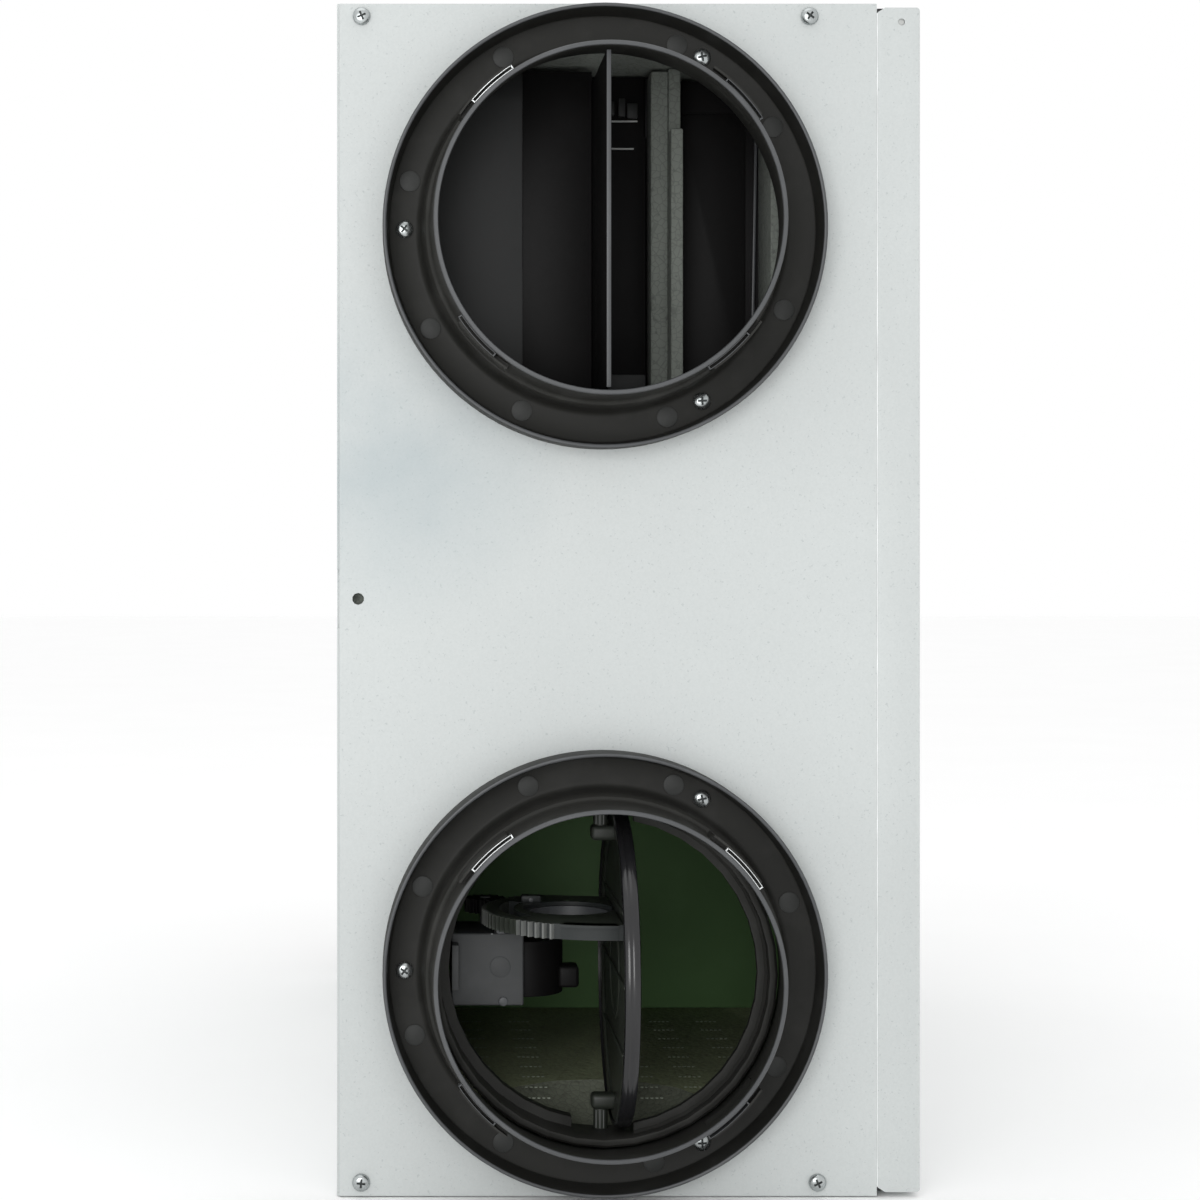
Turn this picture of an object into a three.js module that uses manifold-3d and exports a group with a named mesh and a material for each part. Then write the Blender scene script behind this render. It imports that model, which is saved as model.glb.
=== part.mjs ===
// Compact heat recovery unit: a galvanised cabinet with two duct ports on each end, a cross-flow
// core, two blowers, a motorised port damper and a side-hinged service door.
// Frame, in millimetres: +Z up, +X towards the door, -Y the end that carries the damper.
// The origin is at the centre of the cabinet's footprint, on its underside.
import * as THREE from "three";
import { mergeVertices } from "three/addons/utils/BufferGeometryUtils.js";
import Module from "manifold-3d";

const wasm = await Module();
wasm.setup();

// Cabinet and door
const HEIGHT = 520.6;
const BACK_X = -127.15;
const FRONT_X = 108.4; // plane of the cabinet's open front
const DOOR_FACE_X = 127.15;
const END_Y = 285; // outer face of each end panel
const SHEET = 1.2;
const GAP = 0.3; // clearance between pieces that touch
const LIP = 14; // folded flange round each cabinet opening
const DOOR_SIDE_GAP = 0.4;
const DOOR_TOP_Z = 518.7;
const DOOR_BOTTOM_Z = 1.9;
const DOOR_CORNER = 1.5;
const SLOT_LOW_Z = 248; // notch in the back edge that shows the hanging rail
const SLOT_HIGH_Z = 273.5;

// Duct ports
const PORT_X = -11.5;
const PORT_Z = { lower: 99.15, upper: 421.6 };
const PANEL_HOLE = 78;
const COLLAR_OUTER = 95.75;
const COLLAR_FLOOR = 2.5;
const OUTER_RIM = 17.5; // height of the outer rim over the panel
const INNER_RIM = 44.5; // height of the duct spigot over the panel
const SPIGOT_R = 74.2;
const SPIGOT_WALL = 2;
const SCREW_CIRCLE = 86.3;
const SCREW_ANGLES = [60, 180, 300];

// Cross-flow core, a square prism that lies on one edge, along X
const CORE_SIDE = 219;
const CORE_Z = 270;
const CORE_BACK_X = -108;
const CORE_FRONT_X = 100.5;
const FILTER_THICK = 12;
const FOAM_FLOOR_Z = 39.2;
const FOAM_TOP_Z = 500;
const INNER_BACK_X = -111;
const INNER_FRONT_X = 103;

// Blowers, one behind each upper port
const BLOWER_Y = 165;
const BLOWER_Z = 400;
const SCROLL_WIDE = 85;
const SCROLL_TIGHT = 68;
const SCROLL_WALL = 2;
const SCROLL_X = [-105, -14];
const OUTLET_Z = [405, 485];
const FLANGE_Y = 246; // outlet flange
const FLANGE_Z = [345, 497];
const MOUTH_X = -44; // back edge of the outlet in the flange
const INLET_R = 47;
const IMPELLER_R = 58;
const HUB_R = 9;
const SHAFT_R = 4;
const BLADES = 16;
const BLADE = [67.5, 7, 1.6];
const BLADE_CIRCLE = 52.5;
const BLADE_LEAN = 0.5; // radians

// Damper in the lower port of the -Y end
const FLAP_R = 69.5;
const FLAP_AXIS_H = -8; // height of the pivot line over the end panel
const FLAP_OFFSET = 7.8; // from the pivot line to the middle of the plate
const FLAP_ROOM = 76.8; // hollow in the floor foam for the flap and its sleeve
const GEAR_LIFT = 22.3;
const GEAR_TEETH = 90;
const PINION_TEETH = 15;
const MODULE = 40 / 35;
const PINION_ANGLE = 145.5; // direction from the flap's pivot line to the pinion
const AXIS_Y = -END_Y - FLAP_AXIS_H;

const PALETTE = {
  galvanised: [0xd6dbda, 0.38, 0.85],
  steel: [0xb9bdbf, 0.3, 0.95],
  collar: [0x32332f, 0.5, 0.0],
  blackPlastic: [0x1c1d1d, 0.45, 0.0],
  greenPlastic: [0x2b4026, 0.5, 0.0],
  foam: [0x8b9089, 0.95, 0.0],
  rubber: [0x0d0e0f, 0.25, 0.0],
  greyPlastic: [0xb6bab8, 0.5, 0.0],
  aluminium: [0xc4c8ca, 0.45, 0.9],
  filter: [0x9da59f, 0.98, 0.0],
  board: [0x1f5a35, 0.4, 0.1],
};

const unit = new THREE.Group();
unit.name = "heat_recovery_unit";

// A closed three.js geometry as a solid that manifold-3d can join and cut.
function solid(geometry) {
  const bare = geometry.clone();
  bare.deleteAttribute("normal");
  bare.deleteAttribute("uv");
  const merged = mergeVertices(bare, 1e-4);
  const triVerts = new Uint32Array(merged.index.array);
  const vertProperties = merged.attributes.position.array;
  const made = new wasm.Manifold(new wasm.Mesh({ numProp: 3, vertProperties, triVerts }));
  if (made.volume() >= 0) return made;
  for (let i = 0; i < triVerts.length; i += 3) {
    [triVerts[i + 1], triVerts[i + 2]] = [triVerts[i + 2], triVerts[i + 1]];
  }
  return new wasm.Manifold(new wasm.Mesh({ numProp: 3, vertProperties, triVerts }));
}

function join(first, ...others) {
  return others.reduce((sum, piece) => sum.add(piece), first);
}

function cut(first, ...others) {
  return others.reduce((rest, piece) => rest.subtract(piece), first);
}

// Adds a solid to the unit as a named mesh of its own finish.
function addPart(name, piece, finish) {
  const mesh = piece.getMesh();
  const geometry = new THREE.BufferGeometry();
  geometry.setAttribute("position", new THREE.BufferAttribute(mesh.vertProperties, 3));
  geometry.setIndex(new THREE.BufferAttribute(mesh.triVerts, 1));
  geometry.computeVertexNormals();
  const [color, roughness, metalness] = PALETTE[finish];
  const part = new THREE.Mesh(geometry, new THREE.MeshStandardMaterial({ color, roughness, metalness }));
  part.name = name;
  unit.add(part);
}

// A box from one corner to the other.
function block([x0, x1], [y0, y1], [z0, z1]) {
  const box = new THREE.BoxGeometry(x1 - x0, y1 - y0, z1 - z0);
  return solid(box.translate((x0 + x1) / 2, (y0 + y1) / 2, (z0 + z1) / 2));
}

// A cylinder from one height to the other along X, Y or Z, about the point given by the other two.
function rod(axis, [low, high], [a, b], radius, sides = 24) {
  const made = new THREE.CylinderGeometry(radius, radius, high - low, sides);
  made.translate(0, (low + high) / 2, 0);
  if (axis === "x") return solid(made.rotateZ(-Math.PI / 2).translate(0, a, b));
  if (axis === "z") return solid(made.rotateX(Math.PI / 2).translate(a, b, 0));
  return solid(made.translate(a, 0, b));
}

// A profile of [radius, height] pairs turned about an axis that stands on an end panel.
// side is -1 for the damper end and 1 for the other; height runs outwards from the panel.
function turned(profile, side, [x, z], sides = 24) {
  const points = profile.map(([r, h]) => new THREE.Vector2(r, h));
  const made = new THREE.LatheGeometry(points, sides);
  if (side < 0) made.rotateX(Math.PI);
  return solid(made.translate(x, side * END_Y, z));
}

// An outline in the YZ plane pulled from one X to the other.
function alongX(outline, [x0, x1]) {
  const shape = new THREE.Shape(outline.map(([y, z]) => new THREE.Vector2(y, z)));
  const made = new THREE.ExtrudeGeometry(shape, { depth: x1 - x0, bevelEnabled: false });
  made.rotateX(Math.PI / 2).rotateZ(Math.PI / 2);
  return solid(made.translate(x0, 0, 0));
}

// An outline in the XY plane pulled from one Z to the other.
function alongZ(outline, [z0, z1]) {
  const shape = new THREE.Shape(outline.map(([x, y]) => new THREE.Vector2(x, y)));
  const made = new THREE.ExtrudeGeometry(shape, { depth: z1 - z0, bevelEnabled: false });
  return solid(made.translate(0, 0, z0));
}

// Two numbers in rising order.
function span(a, b) {
  return [Math.min(a, b), Math.max(a, b)];
}

function polar(radius, degrees) {
  const angle = THREE.MathUtils.degToRad(degrees);
  return [radius * Math.cos(angle), radius * Math.sin(angle)];
}

// A slab in the core's own turned frame: u runs up the lower face of the -Y side, v out of it.
function coreSlab([x0, x1], [u0, u1], [v0, v1]) {
  const box = new THREE.BoxGeometry(x1 - x0, v1 - v0, u1 - u0);
  box.translate((x0 + x1) / 2, -(v0 + v1) / 2, (u0 + u1) / 2);
  return solid(box.rotateX(Math.PI / 4).translate(0, 0, CORE_Z));
}

// Both ends of the unit: the -Y end has the damper.
const ENDS = { near: -1, far: 1 };

// --- Cabinet ---------------------------------------------------------------------------------

const PANEL_SCREWS = {
  top_back: [-116.4, 514.8],
  top_front: [79, 514.8],
  bottom_back: [-116.6, 6.2],
  bottom_front: [82.4, 6.2],
};
const RAIL_HOLE = [-117.9, 260.7];
const RAIL_HOLE_R = 2.6;
const GLAND_AT = [60, 215];
const GLAND_HOLE_R = 8.3;
const DRAIN_AT = [60, 0];
const DRAIN_R = 8;
const SHANK_HOLE = 2.5;
const SLOT_LENGTH = 8; // how far the back edge's notch runs in from each end
const RAIL_THICK = 1.5;
const SHANK = 5.5; // length of a screw under its head
const FOAM_Y = END_Y - 5.5; // ends of the foam, clear of the screws

function panelHoles(side) {
  const across = span(side * (END_Y - 6), side * (END_Y + 2));
  const holes = Object.values(PANEL_SCREWS).map((at) => rod("y", across, at, SHANK_HOLE, 8));
  holes.push(rod("y", across, RAIL_HOLE, RAIL_HOLE_R, 10));
  return holes;
}

function makeShell() {
  const inner = END_Y - SHEET - GAP; // outer face of the folded end flanges
  const y = [-(inner - SHEET), inner - SHEET];
  const outer = block([BACK_X, FRONT_X], [-END_Y, END_Y], [0, HEIGHT]);
  const hollow = block([BACK_X + SHEET, FRONT_X - SHEET], y, [SHEET, HEIGHT - SHEET]);
  const lips = [LIP, HEIGHT - LIP];
  const openY = [-END_Y + LIP + 3, END_Y - LIP - 3];
  const frontWindow = block([FRONT_X - 5, FRONT_X + 5], openY, lips);
  const endWindow = block([BACK_X + LIP, FRONT_X - LIP], [-END_Y - 5, END_Y + 5], lips);
  const recess = [BACK_X + SHEET, FRONT_X + 1];
  const recessZ = [SHEET, HEIGHT - SHEET];
  const recesses = [
    block(recess, [-END_Y - 1, -inner], recessZ),
    block(recess, [inner, END_Y + 1], recessZ),
  ];
  const slotX = [BACK_X - 1, BACK_X + SHEET + 0.2];
  const slotZ = [SLOT_LOW_Z, SLOT_HIGH_Z];
  const slots = [
    block(slotX, [-END_Y - 1, -END_Y + SLOT_LENGTH], slotZ),
    block(slotX, [END_Y - SLOT_LENGTH, END_Y + 1], slotZ),
  ];
  const drain = rod("z", [-1, SHEET + 1], DRAIN_AT, DRAIN_R + GAP, 16);
  const windows = [frontWindow, endWindow];
  const holes = [...panelHoles(-1), ...panelHoles(1), drain];
  addPart("cabinet_shell", cut(outer, hollow, ...windows, ...recesses, ...slots, ...holes), "galvanised");
}

function makeEndPanel(end, side) {
  const faces = side < 0 ? [-END_Y, -END_Y + SHEET] : [END_Y - SHEET, END_Y];
  const plate = block([BACK_X + SHEET + GAP, FRONT_X], faces, [SHEET + GAP, HEIGHT - SHEET - GAP]);
  const across = [faces[0] - 1, faces[1] + 1];
  const ports = Object.values(PORT_Z).map((z) => rod("y", across, [PORT_X, z], PANEL_HOLE, 36));
  const holes = panelHoles(side);
  if (side < 0) {
    holes.push(...collarScrewPlaces().map((at) => rod("y", across, at, SHANK_HOLE, 8)));
  } else {
    holes.push(rod("y", across, GLAND_AT, GLAND_HOLE_R, 16));
  }
  addPart(`end_panel_${end}`, cut(plate, ...ports, ...holes), "galvanised");
}

function collarScrewPlaces() {
  return Object.values(PORT_Z).flatMap((z) => SCREW_ANGLES.map((angle) => {
    const [dx, dz] = polar(SCREW_CIRCLE, angle);
    return [PORT_X + dx, z + dz];
  }));
}

// A pan-head screw whose head stands on the surface at that height over the panel.
function screwAt(side, at, seat) {
  const profile = [
    [0, seat - SHANK],
    [2, seat - SHANK],
    [2, seat],
    [3.9, seat],
    [3.6, seat + 1.6],
    [2.2, seat + 2.4],
    [0, seat + 2.4],
  ];
  return turned(profile, side, at, 10);
}

function makeScrews() {
  for (const [place, at] of Object.entries(PANEL_SCREWS)) {
    addPart(`panel_screw_${place}`, screwAt(-1, at, GAP), "steel");
  }
  collarScrewPlaces().forEach((at, i) => {
    const port = i < SCREW_ANGLES.length ? "lower" : "upper";
    const number = (i % SCREW_ANGLES.length) + 1;
    addPart(`collar_screw_${port}_${number}`, screwAt(-1, at, COLLAR_FLOOR + GAP), "steel");
  });
}

function makeHangingRail() {
  const back = BACK_X + SHEET + GAP;
  const railZ = [SLOT_LOW_Z + 1, SLOT_HIGH_Z - 1];
  const rail = block([back, back + RAIL_THICK], [-END_Y + 3, END_Y - 3], railZ);
  addPart("hanging_rail", rail, "steel");
}

// --- Door, hinges and latches -----------------------------------------------------------------

const HINGE_AT = [FRONT_X + 0.2, END_Y + 3.4];
const HINGE_R = 3;
const PIN_R = 1.35;
const HINGE_HALF = 25;
const HINGE_Z = { lower: 90, upper: 430 };
const LATCH_Y = -255;
const LATCH_Z = { lower: 130, upper: 390 };
const LATCH_R = 12;
const LATCH_WELL_R = LATCH_R + 0.5;
const TIE_HOLE = [119.2, 512.4];
const TIE_HOLE_R = 1.5;
const NOTCH_HIGH = 1.9; // relief notches at the door's folded corners
const NOTCH_WIDE = 4.2;
const GASKET_WIDE = 10;

function doorOutline(x1, z0, z1, radius) {
  const points = [[FRONT_X + DOOR_SIDE_GAP, z0]];
  for (const [z, from] of [[z0 + radius, -90], [z1 - radius, 0]]) {
    for (let step = 0; step <= 3; step += 1) {
      const [dx, dz] = polar(radius, from + step * 30);
      points.push([x1 - radius + dx, z + dz]);
    }
  }
  points.push([FRONT_X + DOOR_SIDE_GAP, z1]);
  return points;
}

function makeDoor() {
  const length = [-END_Y, END_Y - GAP];
  const shape = new THREE.Shape(doorOutline(DOOR_FACE_X, DOOR_BOTTOM_Z, DOOR_TOP_Z, DOOR_CORNER)
    .map(([x, z]) => new THREE.Vector2(x, z)));
  const made = new THREE.ExtrudeGeometry(shape, { depth: length[1] - length[0], bevelEnabled: false });
  const outer = solid(made.rotateX(Math.PI / 2).translate(0, length[1], 0));
  const inside = [length[0] + SHEET, length[1] - SHEET];
  const hollowZ = [DOOR_BOTTOM_Z + SHEET, DOOR_TOP_Z - SHEET];
  const hollow = block([FRONT_X - 1, DOOR_FACE_X - SHEET], inside, hollowZ);
  const notchX = [FRONT_X, FRONT_X + NOTCH_WIDE];
  const ends = [[length[0] - 1, length[0] + 2], [length[1] - 2, length[1] + 1]];
  const notches = ends.flatMap((y) => [
    block(notchX, y, [DOOR_TOP_Z - NOTCH_HIGH, DOOR_TOP_Z + 1]),
    block(notchX, y, [DOOR_BOTTOM_Z - 1, DOOR_BOTTOM_Z + NOTCH_HIGH]),
  ]);
  const tieHole = rod("y", [length[0] - 1, length[0] + 3], TIE_HOLE, TIE_HOLE_R, 10);
  const wells = Object.values(LATCH_Z).map((z) => {
    return rod("x", [FRONT_X - 8, DOOR_FACE_X + 3], [LATCH_Y, z], LATCH_WELL_R, 24);
  });
  addPart("door_panel", cut(outer, hollow, ...notches, tieHole, ...wells), "galvanised");

  const linerZ = [DOOR_BOTTOM_Z + SHEET + GAP, DOOR_TOP_Z - SHEET - GAP];
  const linerY = [inside[0] + GAP, inside[1] - GAP];
  const liner = block([FRONT_X + 3.9, DOOR_FACE_X - SHEET - GAP], linerY, linerZ);
  addPart("door_liner", cut(liner, ...wells), "foam");

  const frameY = [-END_Y + 4, END_Y - 6];
  const frameZ = [SHEET + 3, HEIGHT - SHEET - 3];
  const frame = block([FRONT_X + GAP, FRONT_X + 3.6], frameY, frameZ);
  const inset = ([low, high]) => [low + GASKET_WIDE, high - GASKET_WIDE];
  const opening = block([FRONT_X - 1, FRONT_X + 5], inset(frameY), inset(frameZ));
  addPart("door_gasket", frame.subtract(opening), "rubber");
}

function makeHinge(place, z) {
  const bore = rod("z", [z - HINGE_HALF - 5, z + HINGE_HALF + 5], HINGE_AT, PIN_R + 0.35, 12);
  const fixedY = [END_Y + GAP, END_Y + GAP + SHEET];
  const low = [z - HINGE_HALF, z - GAP / 2];
  const high = [z + GAP / 2, z + HINGE_HALF];
  const plate = block([FRONT_X - 24, HINGE_AT[0]], fixedY, low);
  const fixed = join(plate, rod("z", low, HINGE_AT, HINGE_R, 16));
  addPart(`hinge_leaf_fixed_${place}`, fixed.subtract(bore), "steel");
  const doorY = [END_Y, END_Y + GAP + SHEET];
  const wing = block([HINGE_AT[0] + 1.9, DOOR_FACE_X - 2], doorY, high);
  const moving = join(wing, rod("z", high, HINGE_AT, HINGE_R, 16));
  addPart(`hinge_leaf_door_${place}`, moving.subtract(bore), "steel");
  const pin = rod("z", [z - HINGE_HALF, z + HINGE_HALF], HINGE_AT, PIN_R, 12);
  addPart(`hinge_pin_${place}`, pin, "steel");
}

// A flush quarter-turn latch: slotted head, shaft and cam. The cam lies upright when it is open.
function makeLatch(place, z) {
  const head = rod("x", [DOOR_FACE_X - 6, DOOR_FACE_X - 0.2], [LATCH_Y, z], LATCH_R, 24);
  const slot = block([DOOR_FACE_X - 2.5, DOOR_FACE_X + 1], [LATCH_Y - 1.4, LATCH_Y + 1.4], [z - 9, z + 9]);
  const shaft = rod("x", [104.5, DOOR_FACE_X - 5], [LATCH_Y, z], 5, 12);
  const cam = block([104.5, 106.6], [LATCH_Y - 5, LATCH_Y + 5], [z - 5, z + 22]);
  addPart(`door_latch_${place}`, join(head, shaft, cam).subtract(slot), "blackPlastic");
}

// --- Insulation, cradle, core and filters ------------------------------------------------------

const PARTITION_X = [21.9, 27.5];
const PARTITION_Y = [-255, -135];
const PARTITION_Z = 335;
const STEP_Z = 471;
const CHEEK_X = 65.5;
const CHEEK_Y = [-262, -224];

function coreClearance(extra) {
  const half = CORE_SIDE / 2 + extra;
  return coreSlab([-200, 200], [-half, half], [-half, half]);
}

function filterSlab(side, extra) {
  const half = CORE_SIDE / 2;
  const u = [-half + 2.5 - extra, 70 + extra];
  const v = [half + 0.5 - extra, half + 0.5 + FILTER_THICK + extra];
  const x = [CORE_BACK_X + 1 - extra, CORE_FRONT_X - 1 + extra];
  if (side < 0) return coreSlab(x, u, v);
  return coreSlab(x, span(-v[0], -v[1]), span(-u[0], -u[1]));
}

function makeFoam() {
  const x = [BACK_X + SHEET + GAP, INNER_FRONT_X];
  const y = [-FOAM_Y, FOAM_Y];
  const drain = rod("z", [0, 60], DRAIN_AT, DRAIN_R + GAP, 16);
  const flapRoom = new THREE.SphereGeometry(FLAP_ROOM, 24, 16);
  flapRoom.translate(PORT_X, AXIS_Y, PORT_Z.lower);
  addPart("foam_base", cut(block(x, y, [SHEET + GAP, FOAM_FLOOR_Z]), drain, solid(flapRoom)), "foam");
  addPart("foam_top", block(x, y, [FOAM_TOP_Z, HEIGHT - SHEET - GAP]), "foam");
  const back = block([BACK_X + SHEET + 2.1, INNER_BACK_X], y, [FOAM_FLOOR_Z + GAP, FOAM_TOP_Z - GAP]);
  addPart("foam_back", back, "foam");
  const innerX = [INNER_BACK_X + GAP, INNER_FRONT_X];
  for (const [end, side] of Object.entries(ENDS)) {
    const reach = side < 0 ? [-FOAM_Y, -128] : [128, FOAM_Y];
    const bar = block(innerX, reach, [235, 305]);
    addPart(`foam_divider_${end}`, cut(bar, coreClearance(0.6), filterSlab(side, 0.6)), "foam");
  }
  const top = block(innerX, [-28, 28], [380, FOAM_TOP_Z - GAP]);
  addPart("foam_divider_top", top.subtract(coreClearance(0.6)), "foam");
}

// Foam behind the upper port: a partition, a cheek before the controls and the sill between them.
function makePortFoam() {
  const topZ = FOAM_TOP_Z - GAP;
  const wall = block(PARTITION_X, PARTITION_Y, [PARTITION_Z, topZ]);
  const sill = block([PARTITION_X[0], INNER_FRONT_X], CHEEK_Y, [PARTITION_Z, PARTITION_Z + 6]);
  const cheek = block([CHEEK_X, INNER_FRONT_X], CHEEK_Y, [PARTITION_Z, topZ]);
  const steps = [
    block([0, CHEEK_X - 1], [PARTITION_Y[0] - 1, PARTITION_Y[0] + 10], [STEP_Z, FOAM_TOP_Z]),
    block([0, CHEEK_X - 1], [PARTITION_Y[1] - 20, PARTITION_Y[1] + 1], [STEP_Z, FOAM_TOP_Z]),
  ];
  addPart("foam_port_wall", cut(join(wall, sill, cheek), ...steps), "foam");
}

function makeCradle() {
  const body = block([INNER_BACK_X + GAP, INNER_FRONT_X], [-55, 55], [FOAM_FLOOR_Z + GAP, 151]);
  const hollow = block([INNER_BACK_X + 4, INNER_FRONT_X + 2], [-52, 52], [FOAM_FLOOR_Z - 1, 88]);
  const spout = rod("z", [0, 100], DRAIN_AT, DRAIN_R + GAP, 16);
  addPart("core_cradle", cut(body, coreClearance(FILTER_THICK + 1.2), hollow, spout), "greenPlastic");
  const flange = rod("z", [FOAM_FLOOR_Z + GAP, 44], DRAIN_AT, 12, 16);
  const tube = join(rod("z", [GAP, 91], DRAIN_AT, DRAIN_R, 16), flange);
  const way = rod("z", [-1, 100], DRAIN_AT, DRAIN_R - 2, 16);
  addPart("drain_spout", tube.subtract(way), "blackPlastic");
}

function makeCore() {
  const half = CORE_SIDE / 2;
  const full = [-half, half];
  const inner = [-half + 1, half - 1];
  const thick = 3;
  const plates = coreSlab([CORE_BACK_X + thick + GAP, CORE_FRONT_X - thick - GAP], inner, inner);
  addPart("core_block", plates, "aluminium");
  addPart("core_end_back", coreSlab([CORE_BACK_X, CORE_BACK_X + thick], full, full), "blackPlastic");
  addPart("core_end_front", coreSlab([CORE_FRONT_X - thick, CORE_FRONT_X], full, full), "blackPlastic");
  for (const [end, side] of Object.entries(ENDS)) addPart(`filter_${end}`, filterSlab(side, 0), "filter");
}

// --- Blowers ----------------------------------------------------------------------------------

// The volute's outline in the YZ plane, drawn in by an inset; the outlet points out of the end.
function scrollOutline(side, inset, outletY) {
  const steps = 18;
  const points = [[side * outletY, OUTLET_Z[1] - inset]];
  for (let i = 0; i <= steps; i += 1) {
    const turn = i / steps;
    const radius = THREE.MathUtils.lerp(SCROLL_WIDE, SCROLL_TIGHT, turn) - inset;
    const [dy, dz] = polar(radius, 90 - 270 * turn);
    points.push([side * (BLOWER_Y - dy), BLOWER_Z + dz]);
  }
  points.push([side * (BLOWER_Y + SCROLL_TIGHT - inset), OUTLET_Z[0] + inset]);
  points.push([side * outletY, OUTLET_Z[0] + inset]);
  return points;
}

function makeBlower(end, side) {
  const centre = [side * BLOWER_Y, BLOWER_Z];
  const [x0, x1] = SCROLL_X;
  const inner = [x0 + SCROLL_WALL, x1 - SCROLL_WALL];
  const shell = alongX(scrollOutline(side, 0, FLANGE_Y + 1), [x0, x1]);
  const flange = block([x0 - 3, x1], span(side * FLANGE_Y, side * (FLANGE_Y + 4)), FLANGE_Z);
  const hollow = alongX(scrollOutline(side, SCROLL_WALL, FLANGE_Y - 1), inner);
  const mouthZ = [OUTLET_Z[0] + 4, OUTLET_Z[1] - 4];
  const mouth = block([MOUTH_X, x1 - SCROLL_WALL], span(side * 240, side * 260), mouthZ);
  const inlet = rod("x", [x1 - 5, x1 + 5], centre, INLET_R, 32);
  addPart(`blower_housing_${end}`, cut(join(shell, flange), hollow, mouth, inlet), "blackPlastic");

  const can = rod("x", [x0 + 2.4, -97], centre, 32, 24);
  const motor = join(can, rod("x", [-98, -70], centre, SHAFT_R, 12));
  addPart(`blower_motor_${end}`, motor, "steel");

  const plate = rod("x", [-96, -93.5], centre, IMPELLER_R, 32);
  const hub = rod("x", [-96, -72], centre, HUB_R, 16);
  const eye = rod("x", [-30, -20], centre, INLET_R + 2, 32);
  const ring = rod("x", [-28, -25], centre, IMPELLER_R, 32).subtract(eye);
  const blades = [];
  for (let i = 0; i < BLADES; i += 1) {
    const blade = new THREE.BoxGeometry(...BLADE).rotateX(BLADE_LEAN).translate(0, 0, BLADE_CIRCLE);
    blade.rotateX((i / BLADES) * 2 * Math.PI).translate(-60.5, centre[0], centre[1]);
    blades.push(solid(blade));
  }
  const wheel = join(plate, hub, ring, ...blades);
  const bore = rod("x", [-100, -60], centre, SHAFT_R + 0.4, 12);
  addPart(`blower_impeller_${end}`, wheel.subtract(bore), "greyPlastic");
}

// --- Control box and cable gland ----------------------------------------------------------------

const CONTROL_X = 30;
const CONTROL_Y = [-222, -187];
const CONTROL_Z = [355, 498];
const TERMINALS = 5;
const TERMINAL_PITCH = 11;
const GLAND_PROFILE = [
  [4, -9],
  [8, -9],
  [8, GAP],
  [11, GAP],
  [11, 5],
  [9, 6],
  [9, 13],
  [6, 16],
  [4, 16],
  [4, -9],
];

function makeControls() {
  const [y0, y1] = CONTROL_Y;
  const [z0, z1] = CONTROL_Z;
  const tray = block([CONTROL_X, INNER_FRONT_X - 1], CONTROL_Y, CONTROL_Z);
  const inside = block([CONTROL_X + 2, INNER_FRONT_X + 1], [y0 + 2, y1 - 2], [z0 + 2, z1 - 2]);
  addPart("control_housing", tray.subtract(inside), "blackPlastic");
  const boardY = y0 + 13;
  const board = block([CONTROL_X + 4, CONTROL_X + 69], [boardY, boardY + 1.6], [z0 + 5, z1 - 5]);
  addPart("control_board", board, "board");
  const wayY = [boardY + 6, boardY + 11];
  const blockBody = block([70, 98], [boardY + 2, boardY + 15], [z0 + 14, z0 + 74]);
  const ways = [...Array(TERMINALS).keys()].map((i) => {
    const foot = z0 + 18 + i * TERMINAL_PITCH;
    return block([80, 100], wayY, [foot, foot + 7]);
  });
  addPart("terminal_block", cut(blockBody, ...ways), "greyPlastic");
  addPart("cable_gland", turned(GLAND_PROFILE, 1, GLAND_AT, 16), "blackPlastic");
}

// --- Duct collars -------------------------------------------------------------------------------

const COLLAR_PROFILE = [
  [SPIGOT_R - SPIGOT_WALL, INNER_RIM],
  [SPIGOT_R, INNER_RIM],
  [75.6, 20],
  [77.4, 19],
  [79, COLLAR_FLOOR],
  [92.9, COLLAR_FLOOR],
  [94, OUTER_RIM],
  [COLLAR_OUTER, OUTER_RIM],
  [COLLAR_OUTER, GAP],
  [77, GAP],
  [75.4, 18],
  [SPIGOT_R - SPIGOT_WALL, INNER_RIM],
];
const LUG_ANGLES = [45, 135, 225, 315];
const LUG = [4.2, 9, 28];
const LUG_HEIGHT = 38; // middle of a lug over the end panel

function makeCollar(end, side, port) {
  const at = [PORT_X, PORT_Z[port]];
  const ring = turned(COLLAR_PROFILE, side, at, 36);
  const lugs = LUG_ANGLES.map((angle) => {
    const lug = new THREE.BoxGeometry(...LUG).translate(SPIGOT_R, side * LUG_HEIGHT, 0);
    const turn = THREE.MathUtils.degToRad(angle);
    return solid(lug.rotateY(-turn).translate(at[0], side * END_Y, at[1]));
  });
  const floor = span(side * END_Y, side * (END_Y + 8));
  const places = side < 0 ? collarScrewPlaces() : [];
  const holes = places.map((place) => rod("y", floor, place, SHANK_HOLE, 8));
  addPart(`duct_collar_${end}_${port}`, cut(join(ring, ...lugs), ...holes), "collar");
}

const COVER_X = 13.5;
const COVER_Y = [-227, -224];
const COVER_Z = [352, 499];

// An upright web across the upper port, with a cover plate on its back edge.
function makePortWeb() {
  const face = -END_Y - INNER_RIM + 4;
  const web = block([-13, -11], [face, COVER_Y[1]], [PORT_Z.upper - 71, PORT_Z.upper + 71]);
  const cover = block([-13, COVER_X], COVER_Y, COVER_Z);
  addPart("port_web", join(web, cover), "collar");
}

// --- Port damper --------------------------------------------------------------------------------

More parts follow.
